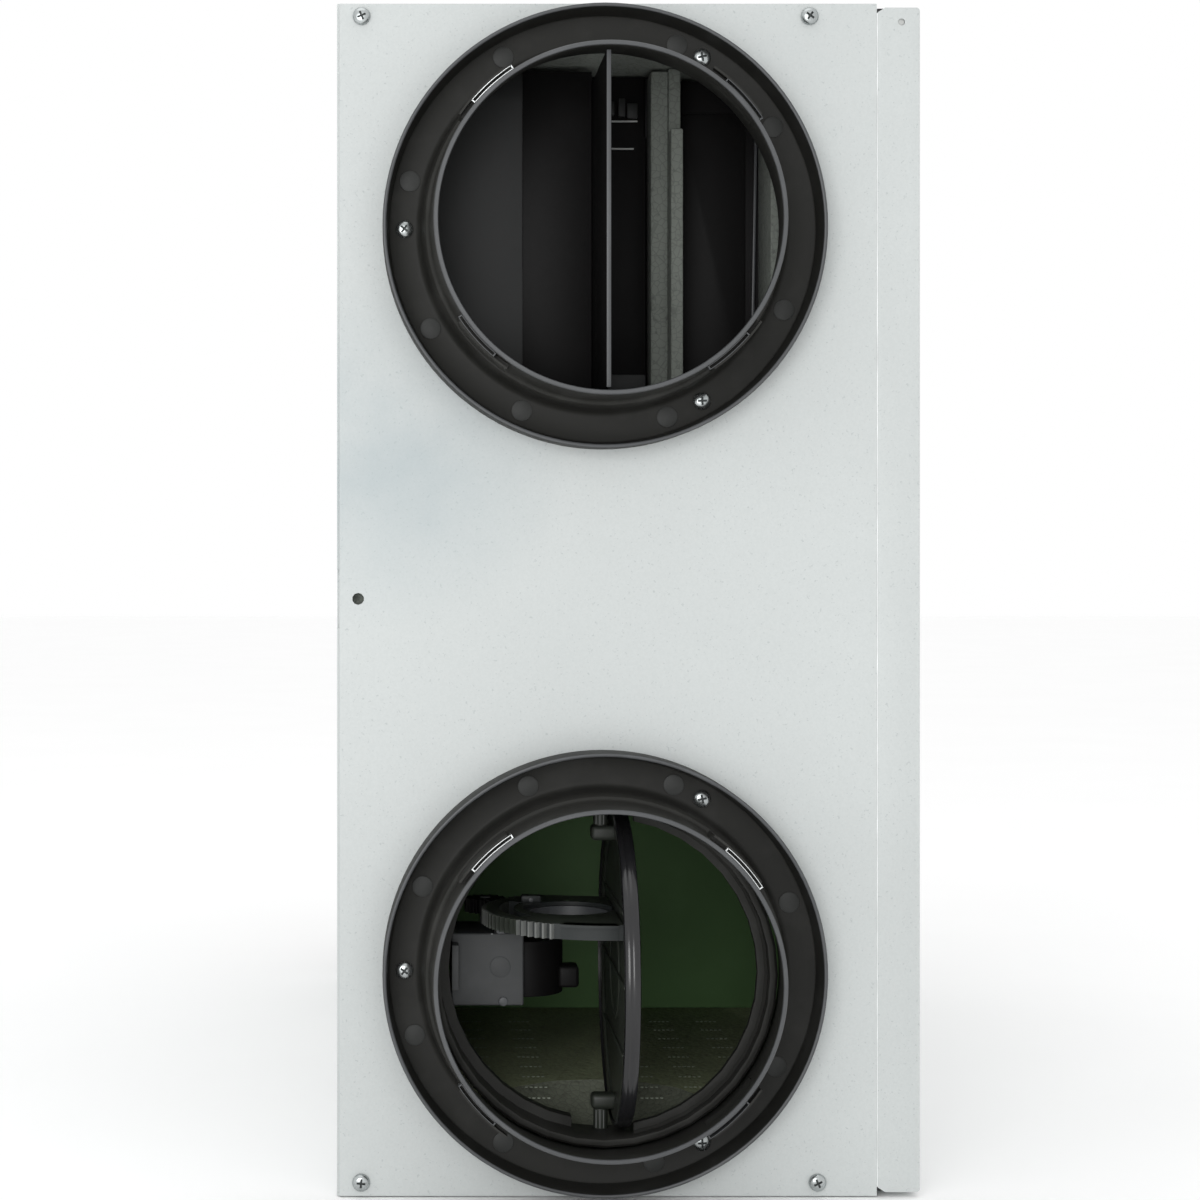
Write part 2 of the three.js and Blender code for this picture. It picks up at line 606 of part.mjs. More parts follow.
const CENTRE_DISTANCE = (GEAR_TEETH + PINION_TEETH) * MODULE / 2;
const TOOTH_TIP = 0.8; // how far a tooth stands outside the pitch circle
const TOOTH_ROOT = 1.2;
const SECTOR_TEETH = 28;
const GEAR_HALF = 3.2;
const DRIVE_R = 2.4;
const STEM_R = 3.2;
const SEAT_R = 66.8;
const SLEEVE_R = 71;
const SLEEVE_OUTER = 74.6;
const SLEEVE_H = [-12, 15.5];
const SEAT_ROOM = 3.5; // half of the room between the two half seats
const BEAD_DEEP = 2.2;
const MOTOR_SIDE = 32;
const MOTOR_DROP = 8.5; // from the middle of the gear to the top of the motor

// Outline of a spur gear about the origin: straight-flanked teeth between two angles, in degrees.
function gearOutline(teeth, from, count, phase) {
  const pitch = teeth * MODULE / 2;
  const tip = pitch + TOOTH_TIP;
  const root = pitch - TOOTH_ROOT;
  const step = 360 / teeth;
  const points = [];
  for (let i = 0; i < count; i += 1) {
    const middle = from + phase + i * step;
    points.push(polar(root, middle - step * 0.23), polar(tip, middle - step * 0.11));
    points.push(polar(tip, middle + step * 0.11), polar(root, middle + step * 0.23));
  }
  return points;
}

// A sleeve with two half seats, one on each side of the closed plate; the stems turn in its wall.
function makeDamperSeat() {
  const z = PORT_Z.lower;
  const low = FLAP_AXIS_H + FLAP_OFFSET - SEAT_ROOM;
  const high = FLAP_AXIS_H + FLAP_OFFSET + SEAT_ROOM;
  const [foot, crest] = SLEEVE_H;
  const into = SLEEVE_R + 1; // seats reach this far into the sleeve's wall
  const ring = (profile) => turned([...profile, profile[0]], -1, [PORT_X, z], 36);
  const wall = [
    [SLEEVE_R, foot],
    [SLEEVE_OUTER, foot],
    [SLEEVE_OUTER, crest - 1.5],
    [SLEEVE_OUTER - 1.2, crest],
    [SLEEVE_R, crest],
  ];
  const leftSeat = ring([[SEAT_R, foot], [into, foot], [into, low - GAP], [SEAT_R, low - GAP]]);
  const rightSeat = ring([
    [SEAT_R, high + GAP],
    [into, high + GAP],
    [into, high + 6.5],
    [SEAT_R + 3, high + 4],
    [SEAT_R, high + 4],
  ]);
  const across = [-END_Y - 60, -END_Y + 60];
  const tall = [z - 90, z + 90];
  const leftHalf = leftSeat.subtract(block([PORT_X - 13, PORT_X + 90], across, tall));
  const rightHalf = rightSeat.subtract(block([PORT_X - 90, PORT_X + 13], across, tall));
  const bores = rod("z", [z - 80, z + 80], [PORT_X, AXIS_Y], STEM_R + 0.4, 12);
  addPart("damper_seat", cut(join(ring(wall), leftHalf, rightHalf), bores), "blackPlastic");
}

// The flap stands open at rest, edge on to the port, beside its vertical pivot line.
function makeDamperFlap() {
  const z = PORT_Z.lower;
  const plateX = PORT_X + FLAP_OFFSET;
  const plate = rod("x", [plateX - 2, plateX + 2], [AXIS_Y, z], FLAP_R - BEAD_DEEP - 0.2, 48);
  const arms = [-1, 1].map((way) => {
    const reach = span(z + way * 54.5, z + way * 66);
    return block([PORT_X - 4.5, plateX], [AXIS_Y - 4.5, AXIS_Y + 4.5], reach);
  });
  const stems = [-1, 1].map((way) => {
    return rod("z", span(z + way * 62, z + way * 74), [PORT_X, AXIS_Y], STEM_R, 12);
  });
  addPart("damper_flap", join(plate, ...arms, ...stems), "blackPlastic");

  const inner = FLAP_R - BEAD_DEEP;
  const profile = [[inner, -3.4], [FLAP_R, -2.4], [FLAP_R, 2.4], [inner, 3.4], [inner, -3.4]];
  const points = profile.map(([r, h]) => new THREE.Vector2(r, h));
  const bead = new THREE.LatheGeometry(points, 48).rotateZ(Math.PI / 2);
  addPart("damper_gasket", solid(bead.translate(plateX, AXIS_Y, z)), "rubber");
}

// A half gear on the flap's left face, about the pivot line, and the pinion that turns it.
function makeDamperGears(pinionAt) {
  const middle = PORT_Z.lower + GEAR_LIFT;
  const gearZ = [middle - GEAR_HALF, middle + GEAR_HALF];
  const clear = [gearZ[0] - 1, gearZ[1] + 1];
  const root = GEAR_TEETH * MODULE / 2 - TOOTH_ROOT;
  const first = PINION_ANGLE - 12;
  const teeth = gearOutline(GEAR_TEETH, first, SECTOR_TEETH, 0);
  const tail = polar(root, 262);
  const side = FLAP_OFFSET - 2 - GAP; // beside the flap's left face
  const outline = [...teeth, tail, [side, tail[1]], [side, 36], polar(root, first - 10)];
  const sector = alongZ(outline.map(([x, y]) => [PORT_X + x, AXIS_Y + y]), gearZ);
  const window = rod("z", clear, [PORT_X - 14, AXIS_Y], 20, 24);
  addPart("damper_gear", sector.subtract(window), "blackPlastic");

  const pinion = gearOutline(PINION_TEETH, PINION_ANGLE + 180, PINION_TEETH, 180 / PINION_TEETH);
  const wheel = alongZ(pinion.map(([x, y]) => [pinionAt[0] + x, pinionAt[1] + y]), gearZ);
  const bore = rod("z", clear, pinionAt, DRIVE_R + 0.4, 12);
  addPart("damper_pinion", wheel.subtract(bore), "greyPlastic");
}

// The motor stands under the pinion, with an ear that reaches the collar.
function makeDamperActuator([x, y]) {
  const top = PORT_Z.lower + GEAR_LIFT - MOTOR_DROP;
  const half = MOTOR_SIDE / 2;
  const body = block([x - half, x + half], [y - 29.5, y + 6.5], [top - MOTOR_SIDE, top]);
  const shaft = rod("z", [top - 2, top + MOTOR_DROP + 5], [x, y], DRIVE_R, 12);
  const ear = block([x - half, x - half + 3], [-END_Y + 3.4, y], [top - 26, top - 6]);
  addPart("damper_actuator", join(body, shaft, ear), "greyPlastic");
}

function makeDamper() {
  const [dx, dy] = polar(CENTRE_DISTANCE, PINION_ANGLE);
  const pinionAt = [PORT_X + dx, AXIS_Y + dy];
  makeDamperSeat();
  makeDamperFlap();
  makeDamperGears(pinionAt);
  makeDamperActuator(pinionAt);
}

makeShell();
for (const [end, side] of Object.entries(ENDS)) makeEndPanel(end, side);
makeHangingRail();
makeScrews();
makeDoor();
for (const [place, z] of Object.entries(HINGE_Z)) makeHinge(place, z);
for (const [place, z] of Object.entries(LATCH_Z)) makeLatch(place, z);
makeFoam();
makePortFoam();
makeCradle();
makeCore();
for (const [end, side] of Object.entries(ENDS)) makeBlower(end, side);
makeControls();
for (const [end, side] of Object.entries(ENDS)) {
  for (const port of Object.keys(PORT_Z)) makeCollar(end, side, port);
}
makePortWeb();
makeDamper();

export default unit;
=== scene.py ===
"""Looks of a compact heat recovery unit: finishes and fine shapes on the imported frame."""

import logging
import math
from dataclasses import dataclass
from enum import Enum
from typing import Any, Callable, Iterable, Sequence

import bmesh
import bpy
from mathutils import Euler, Matrix, Vector


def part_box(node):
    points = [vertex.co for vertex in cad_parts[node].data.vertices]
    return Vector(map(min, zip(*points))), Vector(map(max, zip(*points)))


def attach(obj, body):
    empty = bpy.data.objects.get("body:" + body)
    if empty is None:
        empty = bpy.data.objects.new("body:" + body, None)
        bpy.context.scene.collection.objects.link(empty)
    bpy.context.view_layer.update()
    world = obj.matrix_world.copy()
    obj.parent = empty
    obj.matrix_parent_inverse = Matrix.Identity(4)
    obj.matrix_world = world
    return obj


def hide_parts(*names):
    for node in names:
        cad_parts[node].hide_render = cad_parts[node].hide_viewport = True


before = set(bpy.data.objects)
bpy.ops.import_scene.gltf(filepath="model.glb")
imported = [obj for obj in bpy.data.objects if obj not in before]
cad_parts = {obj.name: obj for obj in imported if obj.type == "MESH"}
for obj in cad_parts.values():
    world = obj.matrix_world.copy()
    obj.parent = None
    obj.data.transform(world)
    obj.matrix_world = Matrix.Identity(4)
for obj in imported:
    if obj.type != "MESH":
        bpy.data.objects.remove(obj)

LOG = logging.getLogger("heat_recovery_unit")
MM = 0.001
Point = Sequence[float]
Color = tuple[float, float, float]
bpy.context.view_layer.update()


class Axis(Enum):
    """A direction of the frame that a round piece is turned about."""

    X = (1.0, 0.0, 0.0)
    Y = (0.0, 1.0, 0.0)
    Z = (0.0, 0.0, 1.0)

    def from_z(self) -> Matrix:
        """Return the turn that takes +Z to this axis."""
        return Vector((0, 0, 1)).rotation_difference(Vector(self.value)).to_matrix()


class End(Enum):
    """One end of the unit, with the way its panel faces along Y."""

    NEAR = -1
    FAR = 1

    @property
    def label(self) -> str:
        """Return the word that the end's nodes carry in their names."""
        return self.name.lower()


# --- Shader maths and materials -----------------------------------------------------------------


class Value:
    """A number that flows between shader nodes, with Python's operators."""

    def __init__(self, graph: "Graph", socket: bpy.types.NodeSocket) -> None:
        """Wrap one output socket of a graph."""
        self.graph = graph
        self.socket = socket

    def _math(self, operation: str, a: Any, b: Any) -> "Value":
        """Return a Math node's result on two values or numbers."""
        made = self.graph.node("ShaderNodeMath", {"operation": operation}, {0: a, 1: b})
        return Value(self.graph, made.outputs[0])

    def __add__(self, other: Any) -> "Value":
        """Return self + other."""
        return self._math("ADD", self, other)

    def __sub__(self, other: Any) -> "Value":
        """Return self - other."""
        return self._math("SUBTRACT", self, other)

    def __rsub__(self, other: Any) -> "Value":
        """Return other - self."""
        return self._math("SUBTRACT", other, self)

    def __mul__(self, other: Any) -> "Value":
        """Return self * other."""
        return self._math("MULTIPLY", self, other)

    __radd__ = __add__
    __rmul__ = __mul__

    def stretched(self, low: float, high: float) -> "Value":
        """Return the value mapped so that low is 0 and high is 1, clamped between them."""
        made = self.graph.node("ShaderNodeMapRange", {"clamp": True}, {0: self, 1: low, 2: high})
        return Value(self.graph, made.outputs[0])


class Graph:
    """The node tree of one material."""

    def __init__(self, name: str) -> None:
        """Start an empty tree that ends in a Principled shader.

        Args:
            name: The material's name.
        """
        self.material = bpy.data.materials.new(name)
        self.material.use_nodes = True
        self.tree = self.material.node_tree
        self.tree.nodes.clear()
        self.shader = self.node("ShaderNodeBsdfPrincipled")
        self.node("ShaderNodeOutputMaterial", inputs={"Surface": self.shader.outputs[0]})
        self.place = self.node("ShaderNodeTexCoord").outputs["Object"]

    def node(
        self,
        kind: str,
        settings: dict[str, Any] | None = None,
        inputs: dict[str | int, Any] | None = None,
    ) -> bpy.types.Node:
        """Make one node.

        Args:
            kind: The node's type name.
            settings: Properties set first; "stops" fills a colour ramp.
            inputs: Numbers, colours, sockets or Values for its inputs.

        Returns:
            The new node.
        """
        made = self.tree.nodes.new(kind)
        for key, value in (settings or {}).items():
            if key == "stops":
                for element, (position, color) in zip(self._stops(made, len(value)), value):
                    element.position = position
                    element.color = (*color, 1.0)
            else:
                setattr(made, key, value)
        for key, value in (inputs or {}).items():
            self.set(made.inputs[key], value)
        return made

    @staticmethod
    def _stops(ramp: bpy.types.Node, count: int) -> Iterable[Any]:
        """Return a ramp's elements after adding as many as count asks for.

        Args:
            ramp: The colour ramp's node.
            count: How many are needed.

        Returns:
            The ramp's elements.
        """
        elements = ramp.color_ramp.elements
        while len(elements) < count:
            elements.new(0.5)
        return elements

    def set(self, socket: bpy.types.NodeSocket, value: Any) -> None:
        """Give a socket a number or colour, or link it to another socket or a Value.

        Args:
            socket: The socket.
            value: The number, colour, socket or Value.
        """
        if isinstance(value, Value):
            value = value.socket
        if isinstance(value, bpy.types.NodeSocket):
            self.tree.links.new(value, socket)
        elif isinstance(value, tuple) and len(value) == 3 and socket.type == "RGBA":
            socket.default_value = (*value, 1.0)
        else:
            socket.default_value = value

    def noise(self, scale: float, detail: float = 2.0, stretch: Point = (1, 1, 1)) -> Value:
        """Return a noise value with that many cycles to the metre.

        Args:
            scale: Cycles to the metre.
            detail: Octaves of finer noise.
            stretch: Factors on X, Y and Z.

        Returns:
            The noise, from 0 to 1.
        """
        vector = self.node("ShaderNodeMapping", inputs={"Vector": self.place, "Scale": tuple(stretch)})
        made = self.node(
            "ShaderNodeTexNoise",
            inputs={"Vector": vector.outputs[0], "Scale": scale, "Detail": detail},
        )
        return Value(self, made.outputs["Fac"])

    def cells(self, scale: float, feature: str = "F1") -> bpy.types.Node:
        """Return a Voronoi node with that many cells to the metre."""
        inputs = {"Vector": self.place, "Scale": scale}
        return self.node("ShaderNodeTexVoronoi", {"feature": feature}, inputs)

    def distance(self, point: Point) -> Value:
        """Return the distance from a point of the frame, in metres.

        Args:
            point: The point.

        Returns:
            The distance.
        """
        made = self.node(
            "ShaderNodeVectorMath", {"operation": "DISTANCE"}, {0: self.place, 1: tuple(point)}
        )
        return Value(self, made.outputs["Value"])

    def mix(self, factor: Any, first: Any, second: Any) -> bpy.types.NodeSocket:
        """Return a colour between two others."""
        made = self.node("ShaderNodeMix", {"data_type": "RGBA"}, {0: factor, 6: first, 7: second})
        return made.outputs[2]

    def bump(self, height: Any, depth_mm: float, strength: float = 1.0) -> None:
        """Raise the surface by a height value."""
        inputs = {"Height": height, "Distance": depth_mm * MM, "Strength": strength}
        made = self.node("ShaderNodeBump", inputs=inputs)
        self.set(self.shader.inputs["Normal"], made.outputs[0])

    def surface(self, **values: Any) -> None:
        """Set the shader's own sockets, named with underscores for spaces."""
        for key, value in values.items():
            self.set(self.shader.inputs[key.replace("_", " ")], value)


@dataclass(frozen=True)
class Finish:
    """A surface finish that a piece can be dressed in."""

    name: str
    slot: str
    color: Color
    roughness: float = 0.5
    metallic: float = 0.0

    def paint(self, graph: Graph) -> None:
        """Lay the finish on the shader of a new material.

        Args:
            graph: The material's tree.
        """
        cloud = graph.noise(30.0, 3.0)
        darker = tuple(0.86 * part for part in self.color)
        graph.surface(
            Base_Color=graph.mix(cloud.stretched(0.3, 0.7), darker, self.color),
            Roughness=cloud * 0.12 + (self.roughness - 0.06),
            Metallic=self.metallic,
        )

    def material(self) -> bpy.types.Material:
        """Return the finish's material, made the first time it is asked for."""
        found = bpy.data.materials.get(self.name)
        if found is not None:
            return found
        graph = Graph(self.name)
        self.paint(graph)
        return graph.material


@dataclass(frozen=True)
class ZincSheet(Finish):
    """Zinc-coated sheet steel: a fine grain, small specks and one dull cloud."""

    # centre and reach of a darker bluish patch on the near end panel
    stain_at: Point = (-0.103, -0.285, 0.323)
    stain_reach: float = 0.078

    def paint(self, graph: Graph) -> None:
        """Lay grain, specks and the dull cloud over the base colour.

        Args:
            graph: The material's tree.
        """
        cloud = graph.noise(9.0, 4.0)
        grain = graph.noise(1100.0, 3.0)
        specks = graph.noise(900.0, 1.0).stretched(0.68, 0.76)
        # a darker bluish patch that fades out round one point of the panel
        near_patch = 1.0 - graph.distance(self.stain_at).stretched(0.0, self.stain_reach)
        patch = near_patch * graph.noise(22.0, 3.0).stretched(0.15, 0.8)
        light = tuple(1.03 * part for part in self.color)
        dull = tuple(0.97 * part for part in self.color)
        base = graph.mix(cloud.stretched(0.3, 0.7), dull, light)
        base = graph.mix(grain.stretched(0.35, 0.65) * 0.12, base, (0.34, 0.37, 0.37))
        base = graph.mix(specks * 0.4, base, (0.26, 0.29, 0.30))
        base = graph.mix(patch * 0.9, base, (0.31, 0.365, 0.385))
        graph.surface(
            Base_Color=base,
            Roughness=grain * 0.16 + cloud * 0.10 + (self.roughness - 0.13),
            Metallic=self.metallic,
        )
        graph.bump(grain, 0.01, 0.2)


@dataclass(frozen=True)
class MouldedPlastic(Finish):
    """Injection-moulded plastic with a fine spark-eroded grain and a few dusty rubs."""

    grain: float = 1100.0
    depth_mm: float = 0.03
    dust: float = 0.12
    shine: float = 0.5

    def paint(self, graph: Graph) -> None:
        """Lay grain and dusty rubs over the base colour.

        Args:
            graph: The material's tree.
        """
        grain = graph.noise(self.grain, 2.0)
        rubs = graph.noise(45.0, 5.0).stretched(0.52, 0.80)
        lighter = tuple(part * 1.6 + 0.018 for part in self.color)
        graph.surface(
            Base_Color=graph.mix(rubs * self.dust * 4.0, self.color, lighter),
            Roughness=rubs * self.dust + grain * 0.10 + (self.roughness - 0.05),
            Metallic=self.metallic,
            Specular_IOR_Level=self.shine,
        )
        graph.bump(grain, self.depth_mm, 0.5)


@dataclass(frozen=True)
class BeadFoam(Finish):
    """Moulded bead foam: packed beads a few millimetres across with pits between them."""

    beads: float = 330.0

    def paint(self, graph: Graph) -> None:
        """Lay domed beads, dark joints and scattered pits over the base colour.

        Args:
            graph: The material's tree.
        """
        dome = Value(graph, graph.cells(self.beads).outputs["Distance"])
        joint = Value(graph, graph.cells(self.beads, "DISTANCE_TO_EDGE").outputs["Distance"])
        pits = graph.noise(240.0, 3.0).stretched(0.60, 0.72)
        tone = graph.noise(16.0, 3.0)
        dark = tuple(0.50 * part for part in self.color)
        shaded = tuple(0.82 * part for part in self.color)
        base = graph.mix(tone.stretched(0.3, 0.7), shaded, self.color)
        base = graph.mix((1.0 - joint.stretched(0.0, 0.09)) * 0.6, base, dark)
        base = graph.mix(pits * 0.7, base, dark)
        graph.surface(Base_Color=base, Roughness=self.roughness, Metallic=0.0)
        graph.bump((1.0 - dome) - pits * 0.6, 0.5, 0.6)


@dataclass(frozen=True)
class BrightMetal(Finish):
    """Plated or drawn metal with fine scratches."""

    scratches: float = 0.10

    def paint(self, graph: Graph) -> None:
        """Lay fine scratches and a faint bloom over the metal.

        Args:
            graph: The material's tree.
        """
        scratch = graph.noise(700.0, 2.0, (1.0, 0.1, 0.1))
        bloom = graph.noise(80.0, 3.0)
        dull = tuple(0.72 * part for part in self.color)
        graph.surface(
            Base_Color=graph.mix(bloom.stretched(0.35, 0.7), dull, self.color),
            Roughness=scratch * self.scratches + bloom * 0.08 + (self.roughness - 0.08),
            Metallic=self.metallic,
        )
        graph.bump(scratch, 0.01, 0.3)


@dataclass(frozen=True)
class PlateStack(Finish):
    """The open face of a stack of thin plates, a few millimetres apart along X."""

    pitch_mm: float = 3.2

    def paint(self, graph: Graph) -> None:
        """Draw the plates' edges as bright lines, with painted shade in the channels between them.

        Args:
            graph: The material's tree.
        """
        apart = graph.node("ShaderNodeSeparateXYZ", inputs={0: graph.place})
        across = Value(graph, apart.outputs["X"]) * (2.0 * math.pi / (self.pitch_mm * MM))
        wave = graph.node("ShaderNodeMath", {"operation": "SINE"}, {0: across})
        edge = Value(graph, wave.outputs[0]).stretched(0.2, 0.9)
        # painted shade for the open channels between the plates
        dark = tuple(0.08 * part for part in self.color)
        graph.surface(
            Base_Color=graph.mix(edge, dark, self.color),
            Roughness=self.roughness,
            Metallic=edge * self.metallic,
        )
        graph.bump(edge, 1.2, 0.8)


@dataclass(frozen=True)
class FilterFleece(Finish):
    """Washable filter fleece: tangled fibres with a soft, uneven surface."""

    def paint(self, graph: Graph) -> None:
        """Lay crossing fibres and soft hollows over the base colour.

        Args:
            graph: The material's tree.
        """
        one_way = graph.noise(1500.0, 2.0, (1.0, 0.12, 0.3))
        other_way = graph.noise(1500.0, 2.0, (0.15, 1.0, 0.4))
        tone = graph.noise(40.0, 3.0)
        dark = tuple(0.6 * part for part in self.color)
        fibres = one_way * 0.5 + other_way * 0.5
        base = graph.mix(fibres.stretched(0.35, 0.6), dark, self.color)
        graph.surface(Base_Color=base, Roughness=0.96)
        graph.bump(fibres + tone * 1.5, 0.8, 0.7)


ZINC = ZincSheet("zinc_sheet", "galvanised", (0.500, 0.525, 0.520), 0.60, 0.12)
FASTENER = BrightMetal("bright_fastener", "steel", (0.48, 0.51, 0.51), 0.26, 0.95)
# dark steel laid in the screws' cross recesses as painted shade
RECESS_SHADE = BrightMetal("recess_steel", "steel", (0.09, 0.10, 0.10), 0.5, 0.5)
PLATED = BrightMetal("plated_steel", "steel", (0.42, 0.44, 0.45), 0.36, 0.9)
# near-white metal for a painted highlight along the door seam
SEAM_HIGHLIGHT = BrightMetal("bright_hem", "galvanised", (0.95, 0.97, 0.97), 0.30, 0.5)
# near-white metal for painted highlights on the lug eyelets that face the light
EYELET_HIGHLIGHT = BrightMetal("bright_eyelet", "steel", (0.85, 0.88, 0.88), 0.16, 0.9)
COLLAR = MouldedPlastic("collar_plastic", "collar", (0.0225, 0.0225, 0.0205), 0.50, shine=0.15)
# a lighter copy of the collar plastic: painted highlight on edges that face the light
EDGE_HIGHLIGHT = MouldedPlastic("collar_rim_plastic", "collar", (0.048, 0.051, 0.054), 0.42)
DISC = MouldedPlastic("collar_disc_plastic", "collar", (0.028, 0.0295, 0.028), 0.55, shine=0.35)
BLACK = MouldedPlastic(
    "deep_black_plastic", "black_plastic", (0.0055, 0.0052, 0.0053), 0.5, dust=0.03, shine=0.12
)
CHARCOAL = MouldedPlastic(
    "charcoal_plastic", "black_plastic", (0.020, 0.021, 0.021), 0.5, dust=0.05, shine=0.25
)
GREEN = MouldedPlastic(
    "cradle_green_plastic",
    "green_plastic",
    (0.113, 0.211, 0.085),
    0.55,
    grain=500.0,
    dust=0.03,
    shine=0.2,
)
GREY = MouldedPlastic("slate_plastic", "grey_plastic", (0.060, 0.064, 0.068), 0.45)
PALE = MouldedPlastic("pale_plastic", "grey_plastic", (0.40, 0.41, 0.40), 0.5)
FOAM = BeadFoam("bead_foam", "foam", (0.190, 0.207, 0.185), 0.92)
# pale grey foam given an olive tint: painted green bounce light in the dim chamber
FLOOR_FOAM_GREEN_BOUNCE = BeadFoam("floor_bead_foam", "foam", (0.32, 0.36, 0.21), 0.92)
# darker copy of the floor foam: painted shade in the hollow under the flap
HOLLOW_SHADE = BeadFoam("floor_hollow_foam", "foam", (0.17, 0.185, 0.14), 0.92)
# dark plastic whose faint green tint is a painted reflection of the green parts nearby; the gear's top
# and other teeth take it as painted shade
FLAP = MouldedPlastic("flap_plastic", "black_plastic", (0.026, 0.030, 0.024), 0.40, shine=0.35)
GEAR = MouldedPlastic("gear_plastic", "black_plastic", (0.022, 0.025, 0.025), 0.42, shine=0.2)
# a much lighter copy of the black plastic: painted highlight on the lit gear teeth and stem flutes
GEAR_HIGHLIGHT = MouldedPlastic("gear_tooth_plastic", "black_plastic", (0.110, 0.115, 0.110), 0.42)
MOTOR = MouldedPlastic("motor_plastic", "grey_plastic", (0.058, 0.061, 0.062), 0.55, shine=0.35)
PALE_FOAM = BeadFoam("pale_vent_foam", "foam", (0.42, 0.47, 0.38), 0.9)
SEAL = MouldedPlastic("seal_rubber", "rubber", (0.010, 0.010, 0.011), 0.20, grain=600.0, dust=0.05)
CORE = PlateStack("core_plates", "aluminium", (0.60, 0.62, 0.63), 0.40, 0.9)
FLEECE = FilterFleece("filter_fleece", "filter", (0.20, 0.27, 0.19))
LAMINATE = Finish("board_laminate", "board", (0.012, 0.085, 0.030), 0.35)
COPPER = BrightMetal("copper_winding", "steel", (0.62, 0.24, 0.10), 0.35, 0.9)


# --- Shaping ------------------------------------------------------------------------------------


